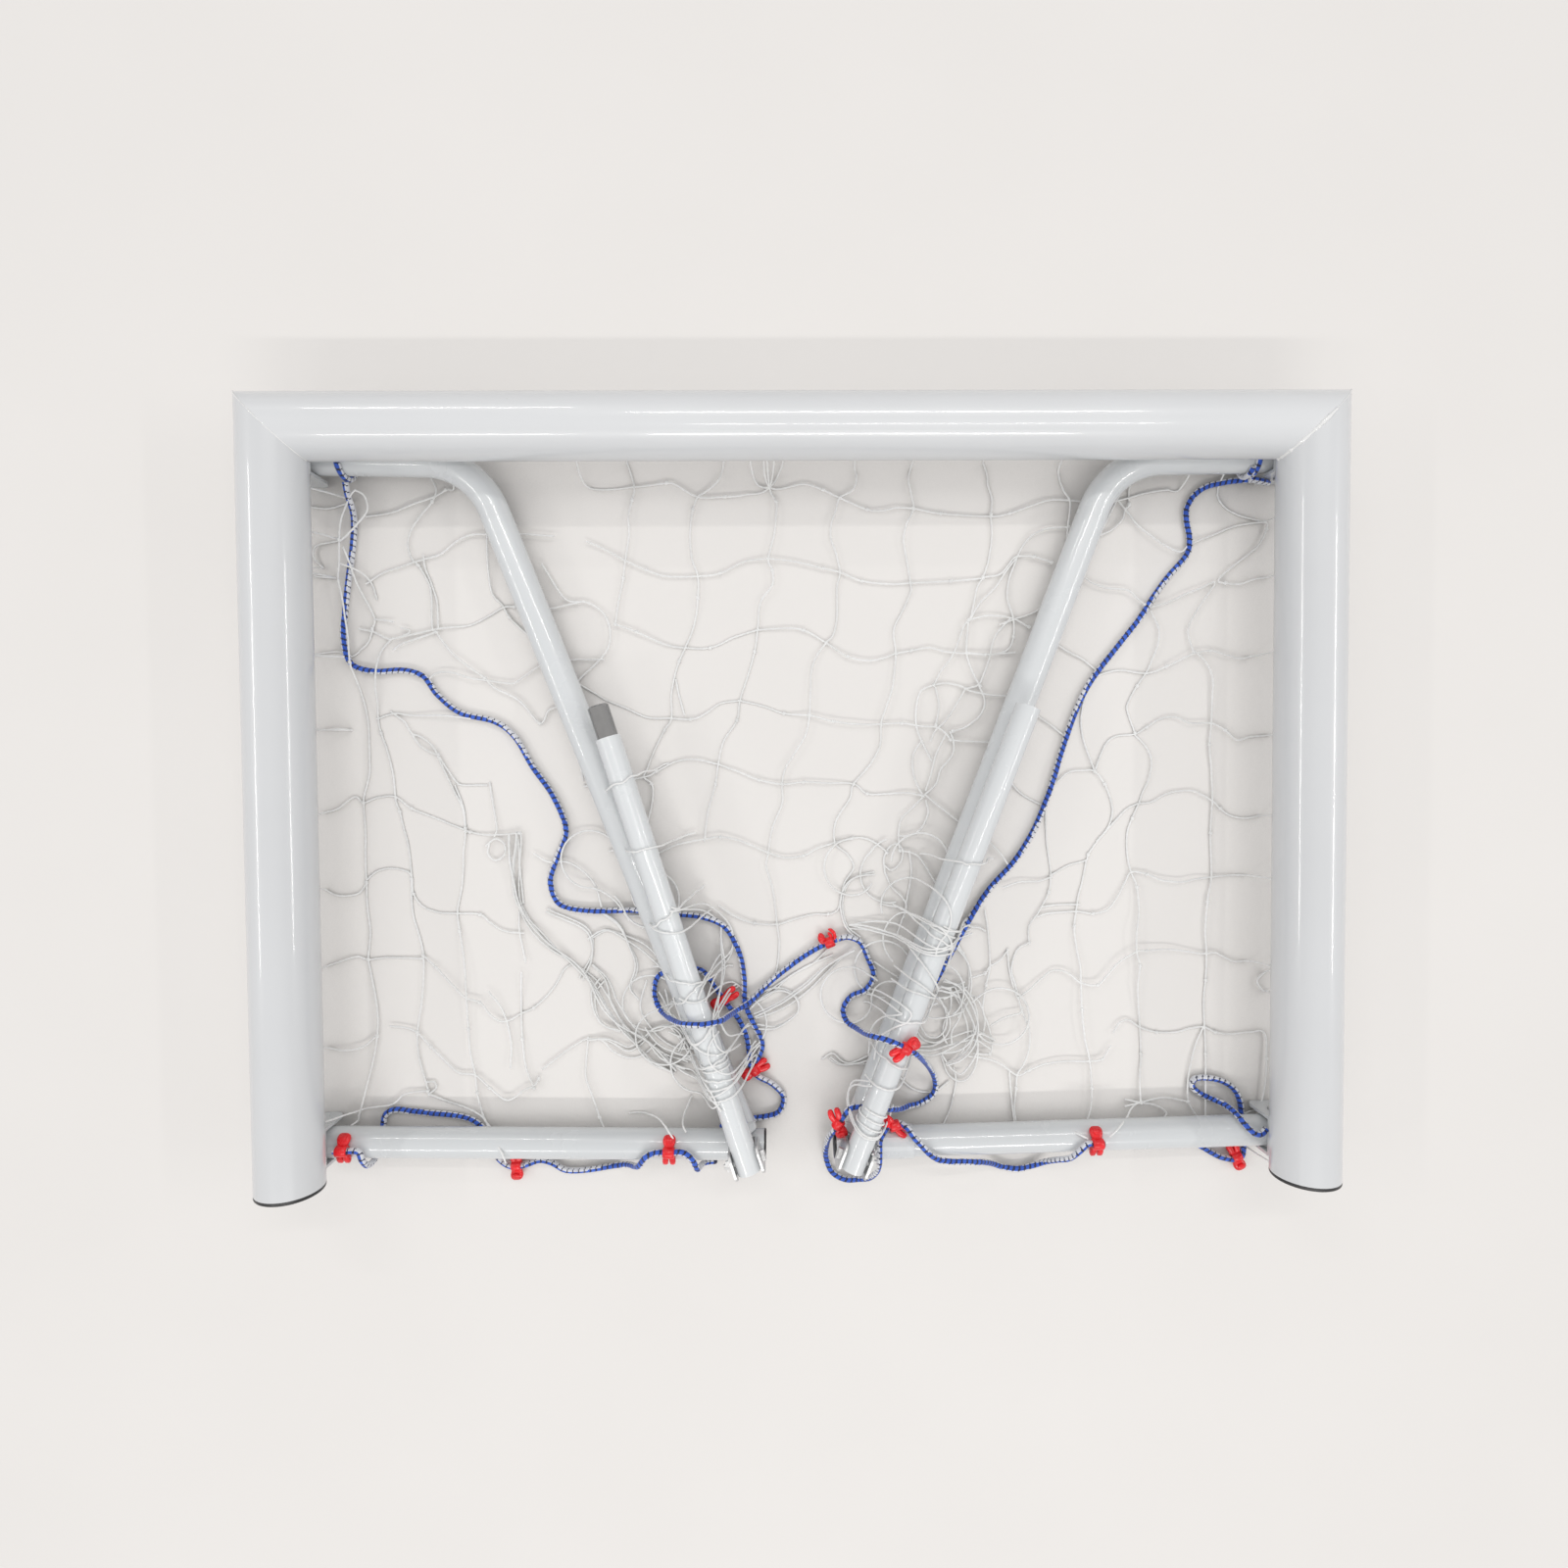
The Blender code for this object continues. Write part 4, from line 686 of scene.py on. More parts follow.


# The net, read from the photograph. Each line is one run of twine, and goes on in the
# lines that start with a space: pixels of the photograph, k where it is knotted, and a third
# number where it lies that many millimetres up.

LEFT_NET = """
362,500,30 357,507,26 348,530,18 346,551,16k 346,573,15 345,590,16 349,610,16 352,630,15 355,650,15
 357,676,14k 362,690,9 368,705 373,722 376,740 377,765 377,790 372,810 371,819k 373,850 373,880
 374,900k 375,925 378,950 377,965 376,979k 380,1000 385,1030 385,1057k 380,1085 375,1105 367,1135
 361,1147
362,500,30 371,505,27 375,517,22 371,527,20 355,545,18 347,552,17
347,575,16 360,580,14 372,587,8 380,597 384,610
350,558,16 355,570,15 362,590,12 370,607,8 382,630 380,642k 376,655 368,663 357,670
368,642 382,645 398,652 415,647 418,643 411,641
384,632 400,634
400,652 390,663 384,680,13 383,700,14 385,715,10 386,733 389,748k 395,765 401,790 404,817 408,828k
 412,845 417,865 420,897k 420,915 422,935 428,955 432,975k 432,1000 430,1025 426,1053k 427,1075
 432,1095 438,1116k
386,733 403,728 420,730 450,730 478,733
400,727 413,737 420,748 430,752 440,760 447,770k 455,783 465,797 472,801 495,801
420,748 428,760 438,767 447,770
447,772 455,790 465,810 472,825 475,845k
432,478 440,488 445,500 441,512k 430,525 420,540 416,555 420,570 427,577k 435,590 440,605 441,640
 445,645k
432,568 434,580 440,595 446,615 447,640
445,645 450,652 460,665 475,678 485,685 495,692k 505,702 530,715 551,738k 560,725 573,720
445,645 430,650 410,657 403,662
316,517 335,519 350,515 358,510
375,527 400,523 420,515 443,507 455,500k 463,496
346,551 325,556 320,563 322,572 330,580
320,588 343,590
375,595 390,585 410,578 425,573 435,570 450,565 465,553 480,546 497,545 515,545 533,545 550,546
 563,547
400,652 445,642 460,640 480,638 500,628 513,620 525,619k 545,620 563,621 580,617
497,545 497,560 498,580 502,605 512,617 520,630k 530,640 541,650
323,667 345,665 357,670
436,695 445,687 460,686 480,692 495,694 515,697 525,697 535,690 550,680 565,676 587,673 600,673
325,745 345,744 358,745
328,830 345,825 362,813 371,819 385,814 403,813 420,825k 440,833 460,841 475,847 480,849k 500,852
 530,850k
330,907 345,914 365,912 373,903
374,898 385,889 400,886 415,889 420,895 422,912k 432,925 448,931 467,932 490,933k 500,941 515,950
 533,952
330,988 350,980 365,976 376,979 395,977 430,978
432,975 445,987k 460,1003 475,1018 490,1023k 500,1035 510,1042 520,1041 532,1034 545,1028k 560,1014
 570,1000 575,990 581,985
330,1069 350,1072 370,1068 384,1057
400,1047 415,1049 425,1053 440,1068k 460,1088 470,1095 485,1097 500,1110k 515,1122 525,1120 535,1112
 545,1108 550,1100k
555,1090 570,1078 590,1064 600,1060 615,1062 625,1072 640,1079 655,1077 668,1066
367,1133 380,1130 400,1127 412,1117 425,1114 437,1113k
438,1116 445,1110 443,1104 436,1104
440,1117 455,1123 475,1130 490,1138 497,1146
465,803 473,825 475,848k 473,870 472,900 467,930 469,950k 473,975 475,1000 476,1020 478,1050k
 480,1075 485,1097 487,1115k 492,1135 497,1147 502,1160,30 507,1168,48 512,1176,54 516,1187,54
500,800 503,820 507,845 505,852
497,862 505,856 514,860 515,872 505,878 498,871 499,862
527,850 528,858k 525,880 524,900 528,920 535,930k
529,858 530,880 532,900 534,920
530,932 530,950 534,970 536,980
532,995 532,1032 533,1060k 537,1090 545,1110k
600,1060 598,1085 598,1100 605,1120 612,1140k 616,1150
562,590 570,603 580,613 600,615 615,625 622,640 622,655 617,667 605,680 590,695 585,712 587,725
 590,740 588,760 592,780
655,1135 670,1140,20 678,1148,45 683,1156,54 687,1162,56
705,1120 698,1138,20 697,1148,46 700,1155,54
"""
REAR_NET_LEFT = """
600,497 647,497 680,493k 690,495 712,507 740,507k 760,505 785,497
600,553 620,562 638,572 660,582k 680,588 712,588 735,585k 760,573 784,570
628,637 650,645k 680,658 699,661 725,661k 750,650 773,643
596,701 608,708 620,715 640,723 660,732 684,733 705,734k 720,728 735,718 755,715
612,800 657,793 670,787k 690,777 710,775 733,780
645,865 668,871 690,862 714,857 735,854k 755,858 784,870
640,472 647,497 645,510k 641,527 642,545 638,572 636,590k 631,615 628,637k
738,475 733,490 720,502 712,507 707,520k 704,545 706,570 712,588 712,610k 710,630 705,648 699,661
 693,675k 688,692 685,710 685,733 678,745k 668,765 660,785 657,793 665,800k 666,815 662,835
690,695 693,710 698,728
770,490 785,497 797,478
785,497 792,512k 792,525 790,545 784,570 788,582k 788,597 776,615 773,643 770,665k 763,690 755,715
 752,735k 738,757 733,780 730,800k 722,830 719,857
"""
REAR_NET_RIGHT = """
785,497 820,494 840,500k 857,508 885,520k 900,521 915,518 932,519 960,524k 1010,527 1030,524k
 1055,515 1075,510 1105,512
784,570 810,573 840,580k 857,584 880,593k 910,596 929,595 970,593k 1003,590k
773,643 800,641 820,643k 843,656 865,670k 885,674 900,672 914,667 930,664k 948,661 965,665 987,667
 1005,668k 1020,667
755,715 780,721 800,728k 826,730 850,736k 875,739 899,739 920,738k 940,741 955,742 965,748 970,755k
733,780 755,788 775,796k 798,800 820,798k 845,799 871,800 885,810k 905,810 925,809 942,812k
784,870 800,875 820,873k 835,865 852,860 870,855k 885,856 900,865 905,870k
872,475 874,488 870,500 857,508k 853,520 848,535 848,550 853,565 857,584k 854,600 854,630 850,648
 843,656k 833,670 828,685 827,705 826,730k 822,750 810,770 801,785 798,800k 798,820 788,845 784,870k
 782,885 788,905 791,925 793,943k 795,960 794,980 790,1000
930,475 927,490 930,505 932,519k 925,535 922,550 925,570 929,595k 929,605 920,625 912,643 914,667k
 912,690 910,705 903,725 899,739k 898,760 888,780 871,800k 867,815 853,838 852,860k 865,872 871,885
 862,900 858,915 855,928 845,933k 830,933 810,938 793,943 770,942k 750,935 735,925
1003,472 1007,485 1008,495 1012,510 1011,525k 1012,545 1009,570 1003,589k 997,600 991,628 988,633k
 983,640 978,655 970,672 960,685 953,699k
765,1030 780,1015 800,1000 825,985 848,975
770,1024 788,1013 806,996 828,984 845,968
"""
RIGHT_BUNCH = """
988,633 986,660 987,670 992,685 1000,700k
990,632 1010,628 1033,631 1050,640k
1035,632 1055,625 1068,615
1003,589 1020,586 1030,575 1037,568 1055,568k 1073,574k
1037,570 1045,555 1055,545 1070,539 1090,538k
1080,480 1085,500 1092,512 1090,535
1037,572 1030,590 1028,610 1034,631 1034,650k 1028,663 1010,668 987,666
990,632 1000,615 1015,600 1025,585 1035,572
1030,632 1015,650 1010,670 1003,690 998,699 985,703k
953,699 965,697 980,700 990,705 1010,709 1025,710
953,699 940,705 935,720 935,740 940,755 950,775
955,703 958,720 955,740k
985,703 975,720 965,735 955,745 950,755
999,700 1005,715 1000,730 985,742 972,746k
970,755 980,756 1000,757
970,748 973,757 972,770 960,785 955,800 942,812
965,750 955,770 950,790 945,805
940,757 932,770 932,790 938,805 942,812
945,812 955,820 970,832 978,838
940,815 930,825 920,835 917,850 918,868k
945,818 947,830 940,845 930,852 918,853
903,890 902,876 907,865 915,861 921,868 919,880 910,888 904,884
919,868 935,872 945,885 948,890
903,890 910,905 920,915 925,925 920,940
928,870 930,890 925,920
905,990 920,1000 940,1015 960,1018 975,1015
840,1080 850,1075 865,1085 900,1085
"""
RIGHT_NET = """
1152,500 1152,515k 1148,520 1145,530 1135,540 1125,545
1152,508 1170,503 1190,500 1205,498
1140,510 1135,520 1130,530
1150,522 1160,535 1175,547 1190,557 1205,563 1215,555k 1240,545 1260,537 1290,533 1292,540k 1285,555
 1272,567 1255,580 1243,592 1250,595k 1265,596 1280,591 1297,588
1243,497 1243,508 1250,518 1262,525 1275,529 1290,532
1105,588 1115,595 1130,600 1150,602 1160,610 1168,617k
1172,620 1190,615 1210,606 1225,600 1240,594 1230,610 1220,625 1213,640 1213,650 1218,665k
1175,625 1182,640 1182,655 1177,670 1170,686 1160,700k 1152,715 1150,725 1158,748k
1078,657 1090,665 1105,673 1116,682
1118,690 1130,686 1145,684 1170,687 1190,680k 1205,673 1218,667 1235,664k 1250,668 1265,672 1280,669
1220,665 1230,675 1237,690 1237,710 1236,738 1234,760k 1236,785 1237,816 1235,850k 1236,893
 1232,920k 1230,950 1231,975 1230,1000k 1228,1020 1229,1047 1230,1075k 1230,1115 1230,1140
1052,725 1065,735 1075,742 1085,750
1110,705 1105,720 1103,740 1107,760 1117,787k
1117,787 1123,770 1130,757 1140,751 1158,749 1170,742k 1185,733 1200,732 1215,738 1236,738 1250,745k
 1262,755 1275,752 1297,750
1158,750 1170,763 1175,777 1172,795 1165,810 1162,820 1155,835k 1150,850 1150,870 1154,890 1160,905k
 1162,930 1160,950 1160,971 1163,985k 1161,1010 1163,1048 1164,1075k 1163,1100 1164,1125k
1080,797 1090,788 1105,786 1117,787 1127,800k 1133,815 1135,830 1130,845 1120,857
1028,790 1035,803 1045,812 1060,820 1067,822
1162,820 1175,818 1190,810 1205,807 1220,808 1237,817 1245,825k 1255,832 1270,835 1285,832
1162,820 1150,825 1140,835 1120,858 1110,872k 1108,878 1090,883 1072,893k
1067,830 1068,860 1071,880 1072,893 1070,910k 1060,930 1050,945 1050,962k
1000,851 1010,860 1020,870 1027,880
1025,905 1040,900 1060,899 1072,895
1060,935 1070,932 1098,930 1115,932k 1130,928 1140,915 1148,900 1154,890 1170,892k 1185,898 1205,900
 1220,897 1235,895 1255,893 1272,893
1065,925 1080,923 1100,923
1108,880 1104,900 1100,915 1098,930 1096,945k 1098,965 1102,985 1103,1003 1104,1030k 1107,1060
 1112,1083 1114,1110k 1113,1130 1108,1150 1110,1160
1050,962 1040,967 1035,975 1032,990 1036,1005 1039,1018k
1028,970 1030,990 1035,1010 1039,1018
1028,970 1020,980 1010,986 1005,993k 990,998
1039,1018 1050,1010 1063,998 1075,990 1090,993 1103,1003 1120,1005k 1130,995 1142,982 1160,971
 1170,970k 1195,969 1226,973 1240,972 1250,977 1260,981 1278,981
1013,1045 1025,1038 1040,1034 1043,1030
1039,1018 1043,1032 1050,1050 1050,1070 1045,1085 1038,1097 1037,1110k 1035,1130 1037,1147
1030,1095 1032,1120 1035,1145
990,1078 1005,1080 1020,1085 1038,1097 1050,1092k 1065,1086 1085,1083 1112,1083 1125,1080k 1133,1068
1137,1052 1143,1043 1152,1041 1163,1048 1180,1053k 1200,1053 1215,1049 1229,1048 1240,1053k
 1255,1055 1275,1053 1290,1054 1292,1080k 1290,1110 1285,1133k
1228,1048 1220,1065 1215,1085 1212,1105 1213,1125 1222,1140
1164,1125 1175,1122 1190,1120 1212,1124k
1164,1125 1180,1128 1190,1135 1188,1140
1075,1145 1085,1150,20 1093,1154,42 1102,1158,54 1110,1162,56
1155,1130 1150,1140,20 1145,1147,44 1139,1154,54 1132,1160,58
1265,1140 1285,1133 1280,1150 1278,1165 1272,1170
1265,1140 1275,1150 1280,1155
1295,990 1283,1000 1288,1010 1295,1012
1005,930 1008,950 1010,986 1006,1005k 1003,1030 1008,1045 1012,1062 1010,1075k 995,1075
"""
TWIST = 0.008
TWINE_SIDES = 6
PLY_RELIEF = 0.09
STRAND_STEP = 0.0022
NET_ABOUT = 0.004
NET_LIFT = 0.0048
NET_SWELL = 0.0075
NET_RIPPLE = 0.0018
SWELLS_PER_METRE = 8
RIPPLES_PER_METRE = 33
SHAKE = 0.0003
SHAKE_UPWARDS = 0.3
SHAKES_PER_METRE = 55
KNOT_LENGTH = 0.0030
KNOT_TURNS = 1.6
KNOT_STEPS = 11
KNOT_WIDE = 0.0014
KNOT_HIGH = 0.0011
KNOT_UP = 0.0006


def rows_of(text):
    """The words of each row of such a text."""
    return [row.split() for row in text.replace("\n ", " ").split("\n") if row]


def net_height(at):
    """How high the net's twine lies off the floor: it is springy and touches only here and there."""
    slow = noise_at(Vector((at.x * SWELLS_PER_METRE, at.y * SWELLS_PER_METRE, 3.7)))
    fast = noise_at(Vector((at.x * RIPPLES_PER_METRE, at.y * RIPPLES_PER_METRE, 9.1)))
    return max(TWINE_R + GAP, NET_LIFT + NET_SWELL * slow + NET_RIPPLE * fast)


def placed(word):
    """Where a pixel of the photograph lies on the net, or at its own height."""
    px, py, *height = (float(n) for n in word.rstrip("k").split(","))
    if height:
        return seen_at(px, py, height[0] / 1000)
    return seen_at(px, py, net_height(seen_at(px, py, NET_ABOUT)))


def twine_run(verts, faces, points):
    """Two plies laid round each other: an oval section that turns as the twine goes along."""
    def plies_r(i, turn):
        return TWINE_R * (1 + PLY_RELIEF * math.cos(2 * turn - TURN * i * STRAND_STEP / TWIST))

    path = smooth_route(points, STRAND_STEP)
    for i, at in enumerate(path):
        spot = at * SHAKES_PER_METRE
        shake = Vector((noise_at(spot), noise_at(spot + UP), SHAKE_UPWARDS * noise_at(spot - UP)))
        path[i] = at + shake * SHAKE
        path[i].z = max(path[i].z, TWINE_R + GAP)
    cord_tube(verts, faces, path, plies_r, TWINE_SIDES)


def net_knot(verts, faces, at, way):
    """A knot of the net: a tight coil of twine round the strands that meet there."""
    across = way.cross(UP).normalized()
    coil = []
    for share in shares(KNOT_STEPS):
        turn = TURN * KNOT_TURNS * share
        coil.append(at + way * (share - 0.5) * KNOT_LENGTH + across * (math.cos(turn) * KNOT_WIDE)
                    + UP * (KNOT_UP + math.sin(turn) * KNOT_HIGH))
    cord_tube(verts, faces, coil, lambda i, turn: TWINE_R, TWINE_SIDES)


# How a run's free end goes on: by how much, from how near a tube, and where it is tied
TUCK = 0.022
TIED_SHARE = 0.4
OPEN_SHARE = 0.12
NEAR_TUBE = 0.046
NEAR_POST = 0.055
NEAR_CROSSBAR = 0.050
TIED_IN = 0.004
TIED_UNDER = FRAME_Z - FRAME_TUBE_R - TWINE_R

# How near a bar half's end loose twine is still lifted over it, and the curve it takes
BAR_END_REACH = 0.03
ROUND_BAR = BAR_R + 2 * TWINE_R
SHOULDER = 0.7 * ROUND_BAR


def lines_of_tubes():
    lines = []
    for (side, name), (pivot, way, bolt, length) in zip(SIDES, BARS.values()):
        lines.append([spot for spot, across in side_route(side)])
        lines.append([pivot, pivot + way * length])
        lines.append([on_side(side, 0, 0, 0), on_side(side, SIDE_DEPTH, CORNER_UP, 0)])
    return lines


TUBE_LINES = lines_of_tubes()


def beside_tube(at):
    """Whether a side frame's tube or a bar half is near enough to hide what goes on under it."""
    for line in TUBE_LINES:
        for a, b in zip(line, line[1:]):
            run = (b - a).to_2d()
            share = min(1, max(0, (at - a).to_2d().dot(run) / run.length_squared))
            if ((at - a).to_2d() - run * share).length < NEAR_TUBE:
                return True
    return False


def tied_off(end, beside):
    """Where a run of the net goes on to, out of the photograph's sight: up to the underside
    of the post or the crossbar that it is tied to, or a little way under another tube."""
    ahead = (end - beside).normalized() * TUCK
    if abs(end.x) > POST_X - NEAR_POST:
        return Vector((math.copysign(POST_X - TIED_IN, end.x), end.y + ahead.y * TIED_SHARE, TIED_UNDER))
    if end.y > CROSSBAR_Y - NEAR_CROSSBAR:
        return Vector((end.x + ahead.x * TIED_SHARE, CROSSBAR_Y - TIED_IN, TIED_UNDER))
    on = end + ahead * (1 if beside_tube(end) else OPEN_SHARE)
    on.z = net_height(on)
    return on


def net_piece(name, text, loops=()):
    """One area of the net. A run's free end goes on a little, under the tube that hides it."""
    verts, faces = [], []
    for row in rows_of(text):
        points = [placed(word) for word in row]
        ends = []
        for end, beside in ((0, 1), (-1, -2)):
            free = not row[end].endswith("k") and row[end].count(",") == 1
            ends.append([tied_off(points[end], points[beside])] if free else [])
        twine_run(verts, faces, ends[0] + points + ends[1])
        for i, at in enumerate(points):
            if row[i].endswith("k"):
                beside = points[i - 1 if i else 1]
                net_knot(verts, faces, at, (at - beside).normalized())
    for points in loops:
        twine_run(verts, faces, points)
    return add_object(name, verts, faces, TWINE, 60)


def over_bar(at, bar):
    """Lifts a point of loose twine over a bar half that lies across its way, if any does."""
    if not bar:
        return at
    pivot, way, bolt, length = BARS[bar]
    flat = Vector((at.x - pivot.x, at.y - pivot.y, 0))
    far = abs(flat.dot(bolt))
    along = flat.dot(way)
    if far > NEAR_TUBE or not -BAR_END_REACH <= along <= length + BAR_END_REACH:
        return at
    crown = BAR_Z + math.sqrt(ROUND_BAR ** 2 - min(far, SHOULDER) ** 2)
    share = max(0, (far - SHOULDER) / (NEAR_TUBE - SHOULDER))
    return Vector((at.x, at.y, crown + (at.z - crown) * (share * share * (3 - 2 * share))))


def seen_row(at):
    """The row of the photograph in which a point is seen."""
    beside = CAMERA_TURN.to_matrix().transposed() @ (at - CAMERA_AT)
    return PICTURE / 2 + FOCAL_PIXELS * beside.y / beside.z


def on_bar(bar, row):
    """How far along a bar half, from its pivot, the photograph shows this row."""
    pivot, way, bolt, length = BARS[bar]
    low, high = 0.0, length
    for _ in range(24):
        middle = (low + high) / 2
        if seen_row(pivot + way * middle) > row:
            low = middle
        else:
            high = middle
    return low


# Slack net in long loops, read from the photograph. Each line is how many strands
# run side by side, over how many millimetres, and the pixels of the photograph they follow.
LEFT_SLACK = """
4 9 526,850 528,885 530,912 536,930 548,948 566,968 586,984 602,1000 613,1018 630,1042 650,1062
 668,1082 688,1095
2 7 603,985 616,1002 624,1024 646,1046 664,1060 680,1078 700,1088
2 8 642,880 648,902 660,925 668,945 680,970 684,1000 690,1020
2 9 600,958 618,948 638,956 656,968 672,986 680,1004
2 8 612,932 630,944 640,965 646,985 640,1008 650,1022
2 8 600,1062 620,1064 640,1074 656,1066 668,1052 684,1050 694,1060 690,1074
3 9 770,1036 790,1026 808,1014 824,1002 840,988 856,978 872,970
2 7 772,1050 790,1053 806,1046 817,1032 812,1018 796,1012 780,1020 766,1034
1 5 660,1000 652,1030 668,1056 690,1068 712,1066
2 9 560,925 580,935 600,950 604,975 596,1000
1 6 545,870 560,880 580,882 604,900 616,925
2 7 618,1002 610,1015 616,1040 634,1050
1 4 500,1010 512,1028 520,1060 522,1090
"""
LEFT_BAR_SLACK = """
3 8 676,1078 698,1090 720,1094 742,1088 764,1078 776,1066
2 8 672,1012 684,1034 704,1044 722,1036 738,1018 754,1008
2 9 692,918 712,926 730,938 744,950 749,966 742,980 730,988 722,1002
2 7 736,940 733,962 736,992 734,1020 742,1044 758,1054
1 5 700,1001 716,1004 734,1001 750,1006 760,1014
2 8 684,1050 700,1062 716,1078 732,1090 744,1104
1 5 690,1010 700,1030 720,1046 744,1052 766,1046
1 4 640,935 668,938 700,940 726,930
"""
RIGHT_SLACK = """
4 12 962,1000 978,1006 990,1022 995,1044 990,1064 978,1078 964,1084
2 8 938,1022 934,1040 942,1058 956,1061 965,1050 963,1034 953,1020
3 9 930,1066 952,1070 974,1064 996,1056 1014,1062
2 8 960,1076 968,1094 981,1101 992,1090 997,1070 991,1052
1 5 912,1092 930,1107 950,1110 966,1100
2 8 892,890 872,896 861,908 858,928 864,946 878,956
2 9 976,962 986,980 988,1000 984,1020 974,1036
2 7 970,1008 976,1030 970,1052 974,1068
1 5 1002,1062 1004,1040 996,1020 980,1012 962,1018
2 6 846,1080 858,1086 872,1084 888,1078
1 5 960,1150 970,1130 974,1105 970,1090
"""
RIGHT_BAR_SLACK = """
4 10 866,944 892,946 916,951 942,957 968,955 990,947
2 8 908,984 928,990 948,1002 968,1010 986,1006
2 7 884,1062 888,1042 900,1026 916,1016 906,1008 884,1010
2 7 882,1084 870,1096 865,1112 872,1126 886,1132 900,1128 906,1114
1 5 920,950 936,972 948,1000 942,1030
1 5 880,1150 890,1158 900,1148 896,1130
1 4 878,1078 900,1086 920,1082 936,1070
"""
SLACK_STEP = 0.009
STRAND_RISE = 0.0022
DRIFT_STEP = 0.085
DRIFT_SEED = 7.3
SPREAD_PER_DRIFT = 450
CROSSING_STEPS = 16
CROSSING_SHAKE = 0.0015
TURN_STEPS = 14
WINDING_R = BAR_R + TWINE_R * 1.25

# The curls of a heap: how far off its middle they lie and start, in shares of its size, how
# far from square they set out, the radii of their bends, how high they lie, in how many
# steps, how far a bend drifts in each, and how often it turns over
CURL_STEP = 0.007
CURL_OFF = 0.38
CURL_START = (0.2, 0.8)
CURL_ASKEW = 0.6
CURL_RADII = (0.028, 0.110)
CURL_RISES = (0.0005, 0.008)
CURL_STEPS = (20, 42)
CURL_DRIFT = 4.5
CURL_FLIPS = 0.05
TIGHTEST = 48
TURNED_BACK = 26


def bundles(text, seed, bar):
    """The strands of such a list, wandering a little from each other as they go."""
    lines = []
    for count, spread, *spots in rows_of(text):
        route = smooth_route([placed(spot) for spot in spots], SLACK_STEP)
        for k in range(int(count)):
            seed += 1
            strand = []
            for i, (at, (way, across, rise)) in enumerate(zip(route, frames_along(route))):
                drift = noise_at(Vector((i * DRIFT_STEP, seed * DRIFT_SEED, k)))
                drift = drift * int(spread) / SPREAD_PER_DRIFT
                spot = at + way.cross(UP).normalized() * drift
                spot.z = net_height(spot) + STRAND_RISE * k
                strand.append(over_bar(spot, bar))
            lines.append(strand)
    return lines


def heading_to(angle):
    return Vector((math.cos(angle), math.sin(angle), 0))


def tangle(word, size, count, seed, bar):
    """Loose curls of slack net, heaped where the photograph shows them: on the floor, or
    lying over a bar half."""
    chance = random.Random(seed)
    lines = []
    for _ in range(count):
        off = Vector((chance.gauss(0, CURL_OFF), chance.gauss(0, CURL_OFF), 0))
        middle = placed(word) + off * size
        heading = chance.uniform(0, TURN)
        at = middle + heading_to(heading) * (size * chance.uniform(*CURL_START))
        heading += math.pi / 2 + chance.uniform(-CURL_ASKEW, CURL_ASKEW)
        curl = chance.choice((-1, 1)) / chance.uniform(*CURL_RADII)
        rise = chance.uniform(*CURL_RISES)
        line = []
        for _ in range(chance.randint(*CURL_STEPS)):
            line.append(over_bar(Vector((at.x, at.y, net_height(at) + rise)), bar))
            curl += chance.gauss(0, CURL_DRIFT)
            curl = min(TIGHTEST, max(-TIGHTEST, curl)) * (-1 if chance.random() < CURL_FLIPS else 1)
            back = (middle - at).to_2d()
            if back.length > size:
                curl = math.copysign(TURNED_BACK, heading_to(heading).to_2d().cross(back))
            heading += curl * CURL_STEP
            at = at + heading_to(heading) * CURL_STEP
        lines.append(line)
    return lines


def crossing(bar, row, slant, reach, seed):
    """A strand of slack net that lies over a bar half, from the floor on one side of it
    to the floor on the other."""
    pivot, way, bolt, length = BARS[bar]
    chance = random.Random(seed)
    middle = pivot + way * on_bar(bar, row)
    aside = (bolt + way * slant).normalized()
    line = []
    for share in shares(CROSSING_STEPS):
        shake = way * chance.uniform(-CROSSING_SHAKE, CROSSING_SHAKE)
        at = middle + aside * ((2 * share - 1) * reach) + shake
        line.append(over_bar(Vector((at.x, at.y, net_height(at))), bar))
    return line


def winding(bar, from_row, to_row, turns):
    """Twine wound round a bar half."""
    pivot, way, bolt, length = BARS[bar]
    low, high = on_bar(bar, from_row), on_bar(bar, to_row)
    line = []
    for share in shares(round(turns * TURN_STEPS)):
        centre = pivot + way * (low + (high - low) * share)
        line.append(round_spot(centre, bolt, UP, WINDING_R, TURN * turns * share))
    return line


def loose(text, seed, heaps, bar=None, crossings=(), windings=()):
    """The slack of one piece. What belongs to a bar half goes over it, across it and round it."""
    lines = [crossing(bar, *row) for row in crossings] + [winding(bar, *row) for row in windings]
    lines += bundles(text, seed, bar)
    for heap in heaps:
        lines += tangle(*heap, bar)
    return lines


